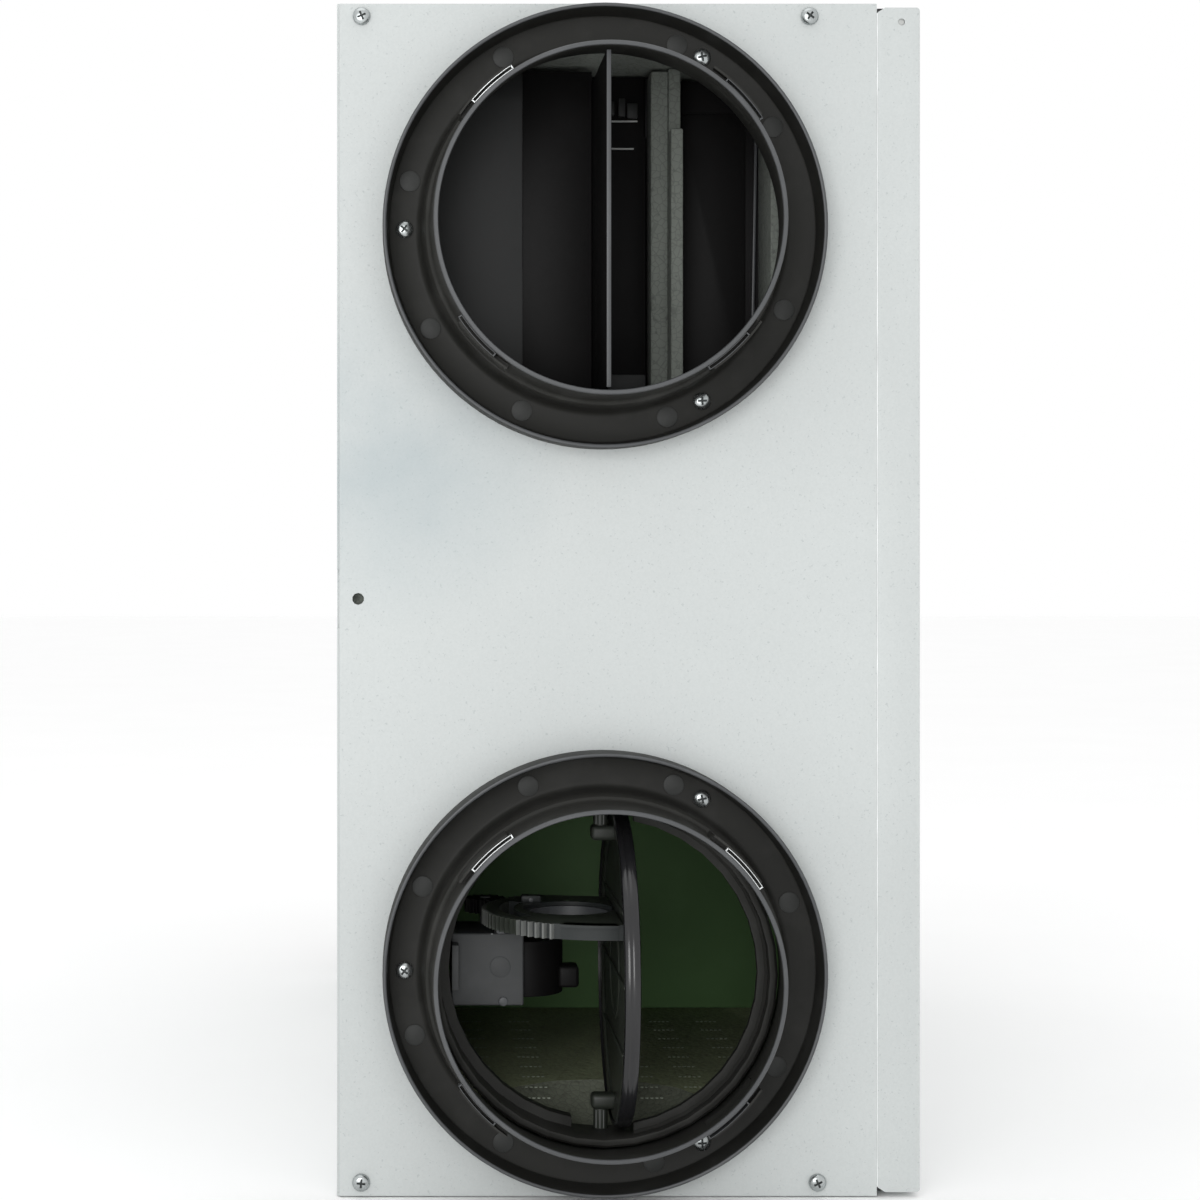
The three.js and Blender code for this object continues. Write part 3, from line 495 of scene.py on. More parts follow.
class Form:
    """A mesh being shaped, in millimetres, in the frame's own axes."""

    SHARP = math.radians(32)

    def __init__(self) -> None:
        """Start with nothing."""
        self.bm = bmesh.new()

    @classmethod
    def of_node(cls, node: str) -> "Form":
        """Return a merged copy of a CAD node, with its flat faces made whole.

        Args:
            node: The node's name.

        Returns:
            A new form.
        """
        made = cls()
        made.bm.from_mesh(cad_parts[node].data)
        bmesh.ops.scale(made.bm, vec=Vector((1 / MM,) * 3), verts=made.bm.verts)
        bmesh.ops.remove_doubles(made.bm, verts=made.bm.verts, dist=0.002)
        bmesh.ops.dissolve_limit(
            made.bm,
            angle_limit=math.radians(0.5),
            verts=made.bm.verts,
            edges=made.bm.edges,
        )
        return made

    def box(self, low: Point, high: Point, radius: float = 0.0, segments: int = 2) -> "Form":
        """Add a box between two corners, with its edges rounded.

        Args:
            low: The lowest corner.
            high: The highest corner.
            radius: The rounding of every edge.
            segments: Faces across each rounding.

        Returns:
            This form.
        """
        verts = bmesh.ops.create_cube(self.bm, size=1.0)["verts"]
        size = Vector(high) - Vector(low)
        bmesh.ops.scale(self.bm, vec=size, verts=verts)
        bmesh.ops.translate(self.bm, vec=(Vector(high) + Vector(low)) / 2, verts=verts)
        if radius:
            self.bevel({edge for vert in verts for edge in vert.link_edges}, radius, segments)
        return self

    def bevel(self, edges: Iterable[bmesh.types.BMEdge], radius: float, segments: int) -> None:
        """Round edges.

        Args:
            edges: The edges.
            radius: The rounding.
            segments: Faces across it.
        """
        bmesh.ops.bevel(
            self.bm,
            geom=list(edges),
            offset=radius,
            offset_type="OFFSET",
            segments=segments,
            profile=0.5,
            affect="EDGES",
            clamp_overlap=True,
            material=-1,
        )

    def round_edges(self, radius: float, segments: int = 2, over: float = 40.0) -> "Form":
        """Round every edge that turns by more than an angle, in degrees.

        Args:
            radius: The rounding.
            segments: Faces across it.
            over: The least turn at an edge that is rounded.

        Returns:
            This form.
        """
        edges = [
            edge
            for edge in self.bm.edges
            if len(edge.link_faces) == 2 and edge.calc_face_angle(0.0) > math.radians(over)
        ]
        self.bevel(edges, radius, segments)
        return self

    def rod(
        self,
        axis: Axis,
        start: Point,
        length: float,
        radius: float,
        end_radius: float | None = None,
        sides: int = 32,
        edge: float = 0.0,
    ) -> "Form":
        """Add a cylinder or cone from a point along an axis.

        Args:
            axis: The way it points.
            start: The centre of its first end.
            length: Its length, negative to run backwards.
            radius: Its first radius.
            end_radius: Its last radius, the first one again by default.
            sides: Faces round it.
            edge: The rounding of its two rims.

        Returns:
            This form.
        """
        verts = bmesh.ops.create_cone(
            self.bm,
            cap_ends=True,
            segments=sides,
            radius1=radius if length > 0 else (end_radius or radius),
            radius2=(end_radius or radius) if length > 0 else radius,
            depth=abs(length),
        )["verts"]
        if edge:
            faces = {face for vert in verts for face in vert.link_faces if len(face.verts) > 4}
            rims = {line for face in faces for line in face.edges}
            before = set(self.bm.verts) - set(verts)
            self.bevel(rims, edge, 2)
            verts = [vert for vert in self.bm.verts if vert not in before]
        bmesh.ops.translate(self.bm, vec=(0, 0, length / 2), verts=verts)
        bmesh.ops.rotate(self.bm, matrix=axis.from_z(), verts=verts)
        bmesh.ops.translate(self.bm, vec=Vector(start), verts=verts)
        return self

    def ring(
        self,
        axis: Axis,
        centre: Point,
        profile: Sequence[Point],
        steps: int = 96,
        angle: float = 360.0,
        start: float = 0.0,
        closed: bool = True,
    ) -> "Form":
        """Turn a profile about an axis.

        Args:
            axis: The axis.
            centre: The point of the axis where height is 0.
            profile: [radius, height] pairs, with height along the axis.
            steps: Faces round a full turn.
            angle: The turn in degrees; a part turn gets flat ends.
            start: Where the turn starts, in degrees.
            closed: Join the last pair to the first.

        Returns:
            This form.
        """
        before = set(self.bm.verts)
        turn = Matrix.Rotation(math.radians(start), 3, "Z")
        verts = [self.bm.verts.new(turn @ Vector((radius, 0, height))) for radius, height in profile]
        lines = [self.bm.edges.new(pair) for pair in zip(verts, verts[1:])]
        if closed:
            lines.append(self.bm.edges.new((verts[-1], verts[0])))
        full = angle >= 360.0
        geom: list[Any] = verts + lines
        if not full and closed:
            geom.append(self.bm.faces.new(verts))
        bmesh.ops.spin(
            self.bm,
            geom=geom,
            cent=(0, 0, 0),
            axis=(0, 0, 1),
            angle=math.radians(angle),
            steps=max(2, round(steps * angle / 360.0)),
            use_merge=full,
        )
        made = [vert for vert in self.bm.verts if vert not in before]
        bmesh.ops.remove_doubles(self.bm, verts=made, dist=0.001)
        made = [vert for vert in self.bm.verts if vert not in before]
        faces = list({face for vert in made for face in vert.link_faces})
        bmesh.ops.recalc_face_normals(self.bm, faces=faces)
        bmesh.ops.rotate(self.bm, matrix=axis.from_z(), verts=made)
        bmesh.ops.translate(self.bm, vec=Vector(centre), verts=made)
        return self

    def prism(self, outline: Sequence[Point], depth: Point, edge: float = 0.0) -> "Form":
        """Pull a flat outline along a vector, and round its edges.

        Args:
            outline: The outline's points.
            depth: The vector that it is pulled along.
            edge: The rounding of every edge.

        Returns:
            This form.
        """
        before = set(self.bm.verts)
        face = self.bm.faces.new([self.bm.verts.new(Vector(point)) for point in outline])
        pulled = bmesh.ops.extrude_face_region(self.bm, geom=[face])["geom"]
        moved = [part for part in pulled if isinstance(part, bmesh.types.BMVert)]
        bmesh.ops.translate(self.bm, vec=Vector(depth), verts=moved)
        made = [vert for vert in self.bm.verts if vert not in before]
        faces = list({side for vert in made for side in vert.link_faces})
        bmesh.ops.recalc_face_normals(self.bm, faces=faces)
        if edge:
            self.bevel({line for side in faces for line in side.edges}, edge, 2)
        return self

    def turned(self, axis: Axis, centre: Point, degrees: float) -> "Form":
        """Turn everything so far about an axis through a point.

        Args:
            axis: The way that the axis points.
            centre: A point on it.
            degrees: The turn.

        Returns:
            This form.
        """
        matrix = Matrix.Rotation(math.radians(degrees), 3, Vector(axis.value))
        bmesh.ops.rotate(self.bm, cent=Vector(centre), matrix=matrix, verts=self.bm.verts)
        return self

    def moved(self, by: Point) -> "Form":
        """Move everything so far."""
        bmesh.ops.translate(self.bm, vec=Vector(by), verts=self.bm.verts)
        return self

    def add(self, other: "Form") -> "Form":
        """Take in another form, which is used up.

        Args:
            other: The form to take in.

        Returns:
            This form.
        """
        spare = bpy.data.meshes.new("spare")
        other.bm.to_mesh(spare)
        other.bm.free()
        self.bm.from_mesh(spare)
        bpy.data.meshes.remove(spare)
        return self

    def without(self, *cutters: "Form") -> "Form":
        """Cut other forms away from this one.

        Args:
            *cutters: The forms to cut away, which are used up.

        Returns:
            This form.
        """
        body = self._loose_object("body")
        for cutter in cutters:
            tool = cutter._loose_object("cutter")
            work = body.modifiers.new("cut", "BOOLEAN")
            work.operation = "DIFFERENCE"
            work.solver = "EXACT"
            work.object = tool
            view = bpy.context.evaluated_depsgraph_get()
            result = bpy.data.meshes.new_from_object(body.evaluated_get(view))
            body.modifiers.clear()
            body.data = result
            bpy.data.objects.remove(tool)
        self.bm = bmesh.new()
        self.bm.from_mesh(body.data)
        bpy.data.objects.remove(body)
        return self

    def _loose_object(self, name: str) -> bpy.types.Object:
        """Return an object that holds this form for one cut.

        Args:
            name: The object's name.

        Returns:
            The object.
        """
        data = bpy.data.meshes.new(name)
        self.bm.to_mesh(data)
        self.bm.free()
        made = bpy.data.objects.new(name, data)
        bpy.context.scene.collection.objects.link(made)
        return made

    def piece(
        self,
        name: str,
        finish: Finish,
        body: str = "cabinet",
        replaces: Sequence[str] = (),
        extra: Sequence[tuple[Finish, Callable[[bmesh.types.BMFace], bool]]] = (),
    ) -> bpy.types.Object:
        """Make the form an object of the model.

        Args:
            name: The piece's name.
            finish: Its finish.
            body: The CAD body that it rides on.
            replaces: CAD nodes that it stands for.
            extra: Further finishes, each with a test for the faces that get it.

        Returns:
            The new object.
        """
        for face in self.bm.faces:
            face.smooth = True
            for index, (_, test) in enumerate(extra, start=1):
                if test(face):
                    face.material_index = index
        for edge in self.bm.edges:
            edge.smooth = len(edge.link_faces) == 2 and edge.calc_face_angle(0.0) < self.SHARP
        bmesh.ops.scale(self.bm, vec=Vector((MM,) * 3), verts=self.bm.verts)
        data = bpy.data.meshes.new(name)
        self.bm.to_mesh(data)
        self.bm.free()
        made = bpy.data.objects.new(name, data)
        bpy.context.scene.collection.objects.link(made)
        for one in (finish, *(pair[0] for pair in extra)):
            data.materials.append(one.material())
        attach(made, body)
        if replaces:
            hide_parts(*replaces)
        LOG.info("%s: %d faces on %s", name, len(data.polygons), body)
        return made


def box_mm(node: str) -> tuple[Vector, Vector]:
    """Return a CAD node's corners in millimetres."""
    low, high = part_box(node)
    return low / MM, high / MM


def middle_mm(node: str) -> Vector:
    """Return the middle of a CAD node's box in millimetres."""
    low, high = box_mm(node)
    return (low + high) / 2


def polar(radius: float, degrees: float) -> tuple[float, float]:
    """Return the two coordinates of a point at a radius and an angle."""
    angle = math.radians(degrees)
    return radius * math.cos(angle), radius * math.sin(angle)


# --- Duct collars -------------------------------------------------------------------------------

PORT_NAMES = ("lower", "upper")


@dataclass(frozen=True)
class Layout:
    """Where the ports and panels are, in millimetres."""

    end_y: float = 285.0
    port_x: float = -11.5
    lower_z: float = 99.15
    upper_z: float = 421.6
    sheet: float = 1.2

    def port_z(self, port: str) -> float:
        """Return the height of a port's middle."""
        return self.lower_z if port == "lower" else self.upper_z

    def on_end(self, end: End, x: float, height: float, z: float) -> Point:
        """Return the point that stands that high over an end panel."""
        return (x, end.value * (self.end_y + height), z)

    def on_circle(self, end: End, port: str, radius: float, degrees: float, height: float) -> Point:
        """Return a point of a circle round a port; angles turn from +X towards +Z."""
        across, up = polar(radius, degrees)
        return self.on_end(end, self.port_x + across, height, self.port_z(port) + up)


LAYOUT = Layout()


@dataclass(frozen=True)
class CollarSizes:
    """Sizes of one duct collar, in millimetres; heights stand over the end panel."""

    steps: int = 128
    disc_circle: float = 86.4
    disc_radius: float = 4.5
    disc_edge: float = 2.95
    lug_angles: tuple[float, ...] = (45.0, 135.0, 225.0, 315.0)
    lug_span: float = 21.0
    lug_inner: float = 73.4
    lug_outer: float = 77.2
    lug_bottom: float = 26.0
    lug_top: float = 42.6
    loop_inner: float = 74.5
    loop_outer: float = 76.3
    loop_width: float = 0.26
    loop_height: float = 43.2
    loop_span: float = 16.4
    loop_lag: float = 3.5
    loop_steps: int = 420
    loop_deep: float = 3.0
    loop_end: float = 0.4
    slot_deep: float = 4.0
    inner_crest: float = 44.0
    outer_crest: Point = (93.5, 16.9)
    profile: tuple[Point, ...] = (
        (95.75, 0.3), (95.75, 16.6), (95.55, 17.3), (95.2, 17.5), (94.6, 17.5), (94.2, 17.3),
        (94.0, 16.8), (93.0, 3.7), (92.7, 2.9), (92.0, 2.5), (82.0, 2.5), (81.2, 2.6),
        (80.3, 3.1), (79.4, 4.6), (78.3, 12.0), (77.6, 18.2), (77.2, 18.9), (76.2, 19.4),
        (75.7, 20.2), (75.2, 24.0), (74.5, 43.2), (74.3, 44.1), (73.9, 44.5), (72.6, 44.5),
        (72.3, 44.1), (72.2, 43.5), (73.0, 36.0), (75.0, 18.0), (76.6, 3.0), (77.0, 0.3),
    )


class DuctCollar:
    """One double-walled duct collar with its strap lugs and moulded discs."""

    DISCS = {
        "upper": (31, 68, 120, 166, 210, 246, 289, 336),
        "lower": (20, 69, 112, 155, 199, 240, 285, 331),
    }

    # lugs that face the light from above, whose eyelets get the bright painted highlight
    BRIGHT_LUGS = {"upper": (135.0,), "lower": (45.0, 135.0)}

    def __init__(self, end: End, port: str, sizes: CollarSizes = CollarSizes()) -> None:
        """Set out the collar of one port.

        Args:
            end: The end of the unit.
            port: "lower" or "upper".
            sizes: Its sizes.
        """
        self.end = end
        self.port = port
        self.sizes = sizes
        self.centre = LAYOUT.on_end(end, LAYOUT.port_x, 0.0, LAYOUT.port_z(port))

    def _ring(
        self,
        profile: Sequence[Point],
        middle: float = 0.0,
        span: float = 360.0,
        steps: int | None = None,
    ) -> Form:
        """Return a profile turned about the port, all round or about a middle angle.

        Args:
            profile: [radius, height] pairs, with heights over the end panel.
            middle: The middle angle of a part turn, in degrees.
            span: The turn in degrees.
            steps: Faces round a full turn, the collar's own number by default.

        Returns:
            The ring.
        """
        pairs = [(radius, self.end.value * height) for radius, height in profile]
        start = -(middle + span / 2)
        return Form().ring(Axis.Y, self.centre, pairs, steps or self.sizes.steps, span, start)

    def _lug(self, angle: float) -> Form:
        """Return the block of one strap lug, with a slot sunk into its front.

        Args:
            angle: Where the lug is, in degrees.

        Returns:
            The lug.
        """
        sizes = self.sizes
        outline = [
            (sizes.lug_inner, sizes.lug_bottom),
            (sizes.lug_outer, sizes.lug_bottom),
            (sizes.lug_outer, sizes.lug_top),
            (sizes.loop_outer, sizes.lug_top),
            (sizes.loop_outer, sizes.lug_top - sizes.slot_deep),
            (sizes.loop_inner, sizes.lug_top - sizes.slot_deep),
            (sizes.loop_inner, sizes.lug_top),
            (sizes.lug_inner, sizes.lug_top),
        ]
        return self._ring(outline, angle, sizes.lug_span)

    def _loop(self, angle: float) -> Form:
        """Return the slender eyelet that lines one lug's slot and carries the painted highlights along
        its edges.

        Args:
            angle: Where its lug is, in degrees.

        Returns:
            The eyelet.
        """
        sizes = self.sizes
        low, high = sizes.lug_top - sizes.loop_deep, sizes.loop_height
        middle = angle - sizes.loop_lag
        loop = Form()
        for radius in (sizes.loop_inner, sizes.loop_outer - sizes.loop_width):
            edge = radius + sizes.loop_width
            side = [(radius, low), (edge, low), (edge, high), (radius, high)]
            loop.add(self._ring(side, middle, sizes.loop_span, sizes.loop_steps))
        inner, outer = sizes.loop_inner, sizes.loop_outer
        across = [(inner, low), (outer, low), (outer, high), (inner, high)]
        for way in (-1, 1):
            tip = middle + way * sizes.loop_span / 2
            loop.add(self._ring(across, tip, sizes.loop_end, sizes.loop_steps * 4))
        return loop

    def build(self) -> None:
        """Make the ring, lugs, discs and eyelets."""
        sizes = self.sizes
        name = f"{self.end.label}_{self.port}"
        ring = self._ring(sizes.profile)
        for angle in sizes.lug_angles:
            ring.add(self._lug(angle))
        ring.piece(
            f"collar_{name}",
            COLLAR,
            replaces=[f"duct_collar_{name}"],
            extra=[(EDGE_HIGHLIGHT, self._is_edge)],
        )
        discs = Form()
        for angle in self.DISCS[self.port]:
            foot = LAYOUT.on_circle(self.end, self.port, sizes.disc_circle, angle, 2.3)
            reach = self.end.value * (sizes.disc_edge - 2.3)
            discs.rod(Axis.Y, foot, reach, sizes.disc_radius, sides=48, edge=0.25)
        discs.piece(f"collar_discs_{name}", DISC)
        # eyelets on lugs that face the light get the bright painted highlight, the others the lighter
        # painted-highlight plastic
        bright, plain = Form(), Form()
        for angle in sizes.lug_angles:
            (bright if angle in self.BRIGHT_LUGS[self.port] else plain).add(self._loop(angle))
        bright.piece(f"collar_eyelets_{name}", EYELET_HIGHLIGHT)
        plain.piece(f"collar_slot_edges_{name}", EDGE_HIGHLIGHT)

    def _is_edge(self, face: bmesh.types.BMFace) -> bool:
        """Say whether a face is on the crest of either rim, where the painted highlight goes.

        Args:
            face: The face.

        Returns:
            True on a crest.
        """
        middle = face.calc_center_median()
        height = self.end.value * middle.y - LAYOUT.end_y
        radius = math.hypot(middle.x - self.centre[0], middle.z - self.centre[2])
        outward = self.end.value * face.normal.y > 0.35
        reach, least = self.sizes.outer_crest
        return outward and (height > self.sizes.inner_crest or (radius > reach and height > least))


# --- Screws -------------------------------------------------------------------------------------


@dataclass(frozen=True)
class ScrewSizes:
    """Sizes of a pan-head screw, in millimetres."""

    head: tuple[Point, ...] = (
        (0.0, 2.4), (1.2, 2.36), (2.2, 2.2), (3.0, 1.85), (3.55, 1.3), (3.82, 0.7), (3.85, 0.0),
        (2.0, 0.0), (2.0, -5.0), (1.6, -5.5), (0.0, -5.5),
    )
    cross_half: float = 1.95
    cross_width: float = 0.92
    cross_depth: float = 1.7


class Screw:
    """A pan-head screw with a cross recess."""

    def __init__(self, sizes: ScrewSizes = ScrewSizes()) -> None:
        """Keep the sizes."""
        self.sizes = sizes

    def shape(self, end: End, at: Point, seat: float, twist: float) -> Form:
        """Return one screw.

        Args:
            end: The end panel that it stands on.
            at: Its X and Z.
            seat: The height of its head's underside over the panel.
            twist: The turn of its recess, in degrees.

        Returns:
            The screw as a form.
        """
        head = Form().ring(Axis.Z, (0, 0, 0), self.sizes.head, 32, closed=False)
        half, width = self.sizes.cross_half, self.sizes.cross_width
        bottom = 2.4 - self.sizes.cross_depth
        cutters = [
            Form().box((-half, -width / 2, bottom), (half, width / 2, 4)),
            Form().box((-width / 2, -half, bottom), (width / 2, half, 4)),
            Form().rod(Axis.Z, (0, 0, bottom - 0.5), 3.0, 0.35, 1.15, sides=4),
        ]
        cut = head.without(*cutters).turned(Axis.Z, (0, 0, 0), twist)
        cut.turned(Axis.X, (0, 0, 0), 90.0 if end is End.NEAR else -90.0)
        return cut.moved(LAYOUT.on_end(end, at[0], seat, at[1]))


    def in_recess(self, end: End, at: Point, seat: float) -> Callable[[bmesh.types.BMFace], bool]:
        """Return a test for the faces inside the cross recess of a screw that stands in place, which
        are painted dark as shade.

        Args:
            end: The end panel that the screw stands on.
            at: Its X and Z.
            seat: The height of its head's underside over the panel.

        Returns:
            The test.
        """
        half = self.sizes.cross_half

        def test(face: bmesh.types.BMFace) -> bool:
            """Say whether a face is near the axis and well below the crown."""
            middle = face.calc_center_median()
            radius = math.hypot(middle.x - at[0], middle.z - at[1])
            height = end.value * middle.y - LAYOUT.end_y - seat
            return radius < half + 0.1 and height < self.sizes.head[2][1] - 0.25

        return test


class Fasteners:
    """Every panel and collar screw on both ends."""

    PANEL = {
        "top_back": (-116.4, 514.8),
        "top_front": (79.0, 514.8),
        "bottom_back": (-116.6, 6.2),
        "bottom_front": (82.4, 6.2),
    }
    COLLAR_ANGLES = (60.0, 180.0, 300.0)
    COLLAR_CIRCLE = 86.3
    SEAT = 0.3
    COLLAR_SEAT = 2.8

    def build(self) -> None:
        """Make the screws, each turned as it was driven."""
        for end in End:
            is_near = end is End.NEAR
            for index, (place, at) in enumerate(self.PANEL.items()):
                stands_for = [f"panel_screw_{place}"] if is_near else []
                name = f"panel_screw_{end.label}_{place}"
                self._drive(name, end, at, self.SEAT, 23.0 + 31.0 * index, stands_for)
            for port in PORT_NAMES:
                for index, angle in enumerate(self.COLLAR_ANGLES):
                    where = LAYOUT.on_circle(end, port, self.COLLAR_CIRCLE, angle, 0.0)
                    stands_for = [f"collar_screw_{port}_{index + 1}"] if is_near else []
                    name = f"collar_screw_{end.label}_{port}_{index + 1}"
                    at = (where[0], where[2])
                    self._drive(name, end, at, self.COLLAR_SEAT, 12.0 + 40.0 * index, stands_for)

    @staticmethod
    def _drive(
        name: str,
        end: End,
        at: Point,
        seat: float,
        twist: float,
        stands_for: list[str],
    ) -> None:
        """Make one screw, with painted shade in its cross recess.

        Args:
            name: The piece's name.
            end: The end panel that it stands on.
            at: Its X and Z.
            seat: The height of its head's underside over the panel.
            twist: The turn of its recess, in degrees.
            stands_for: The CAD nodes that it replaces.
        """
        screw = Screw()
        # the recess faces get the dark steel as painted shade
        extra = [(RECESS_SHADE, screw.in_recess(end, at, seat))]
        screw.shape(end, at, seat, twist).piece(name, FASTENER, replaces=stands_for, extra=extra)


# --- Cabinet and door ---------------------------------------------------------------------------


@dataclass(frozen=True)
class CabinetSizes:
    """Sizes of the folded sheet work, in millimetres."""

    fold_round: float = 0.45
    panel_round: float = 0.18
    panel_high: float = 520.4
    panel_low: float = 0.2
    panel_back: float = -126.1
    shell_end: float = 283.6


class Cabinet:
    """The folded shell, its flat end sheets and the hanging rail."""

    def __init__(self, sizes: CabinetSizes = CabinetSizes()) -> None:
        """Keep the sizes."""
        self.sizes = sizes

    def build(self) -> None:
        """Make the sheet work."""
        size = self.sizes
        shell = Form.of_node("cabinet_shell")
        for vert in shell.bm.verts:
            vert.co.y = max(-size.shell_end, min(size.shell_end, vert.co.y))
        shell.round_edges(size.fold_round, 2, 60.0)
        shell.piece("cabinet_shell_folded", ZINC, replaces=["cabinet_shell"])
        for end in End:
            node = f"end_panel_{end.label}"
            panel = Form.of_node(node)
            self._widen(panel)
            panel.round_edges(size.panel_round, 1, 60.0)
            panel.piece(f"{node}_sheet", ZINC, replaces=[node])
        rail = Form.of_node("hanging_rail").round_edges(0.3, 2)
        rail.piece("hanging_rail_strip", PLATED, replaces=["hanging_rail"])

    def _widen(self, panel: Form) -> None:
        """Bring an end sheet's outer edges close to the shell's faces.

        Args:
            panel: The end sheet's form.
        """
        size = self.sizes
        for vert in panel.bm.verts:
            if vert.co.z > size.panel_high - 2.0:
                vert.co.z = size.panel_high
            if vert.co.z < size.panel_low + 2.0:
                vert.co.z = size.panel_low
            if vert.co.x < size.panel_back + 1.4:
                vert.co.x = size.panel_back


@dataclass(frozen=True)
class DoorSizes:
    """Sizes of the door pan, in millimetres."""

    back_x: float = 108.8
    face_x: float = 127.15
    near_y: float = -285.0
    far_y: float = 284.7
    low_z: float = 1.9
    high_z: float = 518.7
    corner: float = 1.5
    sheet: float = 1.2
    bend: float = 1.1
    edge: float = 0.4
    notch_wide: float = 3.4
    notch_high: float = 2.1
    # width of the painted highlight strip in the door seam
    hem_wide: float = 0.36
    tie_hole: Point = (119.2, 512.4)
    tie_hole_radius: float = 1.5
    latch_y: float = -255.0
    latch_z: tuple[float, ...] = (130.0, 390.0)
    latch_well: float = 12.5


class Door:
    """The service door: a folded pan with corner relief notches, its liner, seal and latches."""

    def __init__(self, sizes: DoorSizes = DoorSizes()) -> None:
        """Keep the sizes."""
        self.sizes = sizes

    def _outline(self) -> list[Point]:
        """Return the pan's section in the XZ plane, with rounded front corners."""
        size = self.sizes
        points = [(size.back_x, size.near_y, size.low_z)]
        for z, first in ((size.low_z + size.corner, -90.0), (size.high_z - size.corner, 0.0)):
            for step in range(7):
                across, up = polar(size.corner, first + 15.0 * step)
                points.append((size.face_x - size.corner + across, size.near_y, z + up))
        points.append((size.back_x, size.near_y, size.high_z))
        return points

    def _pan(self) -> Form:
        """Return the pan, hollowed, notched and drilled."""
        size = self.sizes
        outer = Form().prism(self._outline(), (0, size.far_y - size.near_y, 0))
        ends = (size.near_y, size.far_y)
        bends = [line for line in outer.bm.edges if self._is_bend(line)]
        outer.bevel(bends, size.bend, 4)
        rims = [line for line in outer.bm.edges if self._is_rim(line, ends)]
        outer.bevel(rims, size.edge, 2)
        hollow = Form().box(
            (size.back_x - 1, size.near_y + size.sheet, size.low_z + size.sheet),
            (size.face_x - size.sheet, size.far_y - size.sheet, size.high_z - size.sheet),
        )
        cutters = [hollow]
        for y in ends:
            for z, way in ((size.low_z, 1), (size.high_z, -1)):
                corner = [
                    (size.back_x - 0.1, y - 3, z - way * 0.1),
                    (size.back_x + size.notch_wide, y - 3, z - way * 0.1),
                    (size.back_x - 0.1, y - 3, z + way * size.notch_high),
                ]
                cutters.append(Form().prism(corner, (0, 6, 0)))
        hole = (size.tie_hole[0], size.near_y - 2, size.tie_hole[1])
        cutters.append(Form().rod(Axis.Y, hole, 5.0, size.tie_hole_radius, sides=24))
        for z in size.latch_z:
            well = (size.face_x - 8, size.latch_y, z)
            cutters.append(Form().rod(Axis.X, well, 12.0, size.latch_well, sides=48))
        return outer.without(*cutters)

    def _is_bend(self, line: bmesh.types.BMEdge) -> bool:
        """Say whether an edge is an upright fold of the pan's face.

        Args:
            line: The edge.

        Returns:
            True at a fold.
        """
        low, high = (vert.co for vert in line.verts)
        upright = abs(low.z - high.z) > 100
        return upright and min(low.x, high.x) > self.sizes.face_x - 0.1

    def _is_rim(self, line: bmesh.types.BMEdge, ends: Point) -> bool:
        """Say whether an edge runs round one end of the pan, behind its bend.

        Args:
            line: The edge.
            ends: The Y of both ends.

        Returns:
            True on a rim.
        """
        for y in ends:
            if all(abs(vert.co.y - y) < 0.01 for vert in line.verts):
                return line.calc_face_angle(0.0) > 1.0
        return False

    def _edge_trim(self) -> None:
        """Make a bright strip along the pan's back edge as a painted highlight in the seam, and dark
        blocks behind its notches as painted shade.
        """
        size = self.sizes
        inset = size.notch_high + 0.3
        seam_highlight = Form().box(
            (size.back_x - size.hem_wide, size.near_y + 0.1, size.low_z + inset),
            (size.back_x - 0.02, size.near_y + 1.1, size.high_z - inset),
        )
        seam_highlight.piece("door_hem", SEAM_HIGHLIGHT, "door")
        # dark blocks behind the notches: painted shade where only the pan's inside lies
        notch_shade = Form()
        for z, way in ((size.low_z, 1), (size.high_z, -1)):
            low, high = sorted((z + way * 0.2, z + way * (size.notch_high + 0.6)))
            notch_shade.box(
                (size.back_x + 0.1, size.near_y + 1.3, low),
                (size.back_x + size.notch_wide + 0.6, size.near_y + 3.3, high),
            )
        notch_shade.piece("door_notch_backing", SEAL, "door")

    def build(self) -> None:
        """Make the pan, the liner, the seal and both latches."""
        self._pan().piece("door_pan", ZINC, "door", replaces=["door_panel"])
        size = self.sizes
        plug = (size.tie_hole[0], size.near_y + 0.5, size.tie_hole[1])
        plug_form = Form().rod(Axis.Y, plug, 1.2, size.tie_hole_radius - 0.1, sides=24, edge=0.2)
        plug_form.piece("door_tie_plug", PALE, "door")
        self._edge_trim()
        liner = Form.of_node("door_liner").round_edges(0.8, 2, 60.0)
        liner.piece("door_liner_foam", FOAM, "door", replaces=["door_liner"])
        seal = Form.of_node("door_gasket").round_edges(1.2, 3, 60.0)
        seal.piece("door_seal", SEAL, "door", replaces=["door_gasket"])
        for place in PORT_NAMES:
            node = f"door_latch_{place}"
            latch = Form.of_node(node).round_edges(0.35, 2, 60.0)
            latch.piece(f"latch_{place}_turn", BLACK, f"latch_{place}", replaces=[node])
            for node in (f"hinge_leaf_fixed_{place}", f"hinge_leaf_door_{place}"):
                body = "door" if "door" in node else "cabinet"
                leaf = Form.of_node(node).round_edges(0.25, 2, 60.0)
                leaf.piece(f"{node}_plate", PLATED, body, replaces=[node])
            pin = Form.of_node(f"hinge_pin_{place}").round_edges(0.3, 2, 60.0)
            pin.piece(f"hinge_pin_{place}_rod", FASTENER, "cabinet", replaces=[f"hinge_pin_{place}"])


# --- Inside the cabinet -------------------------------------------------------------------------


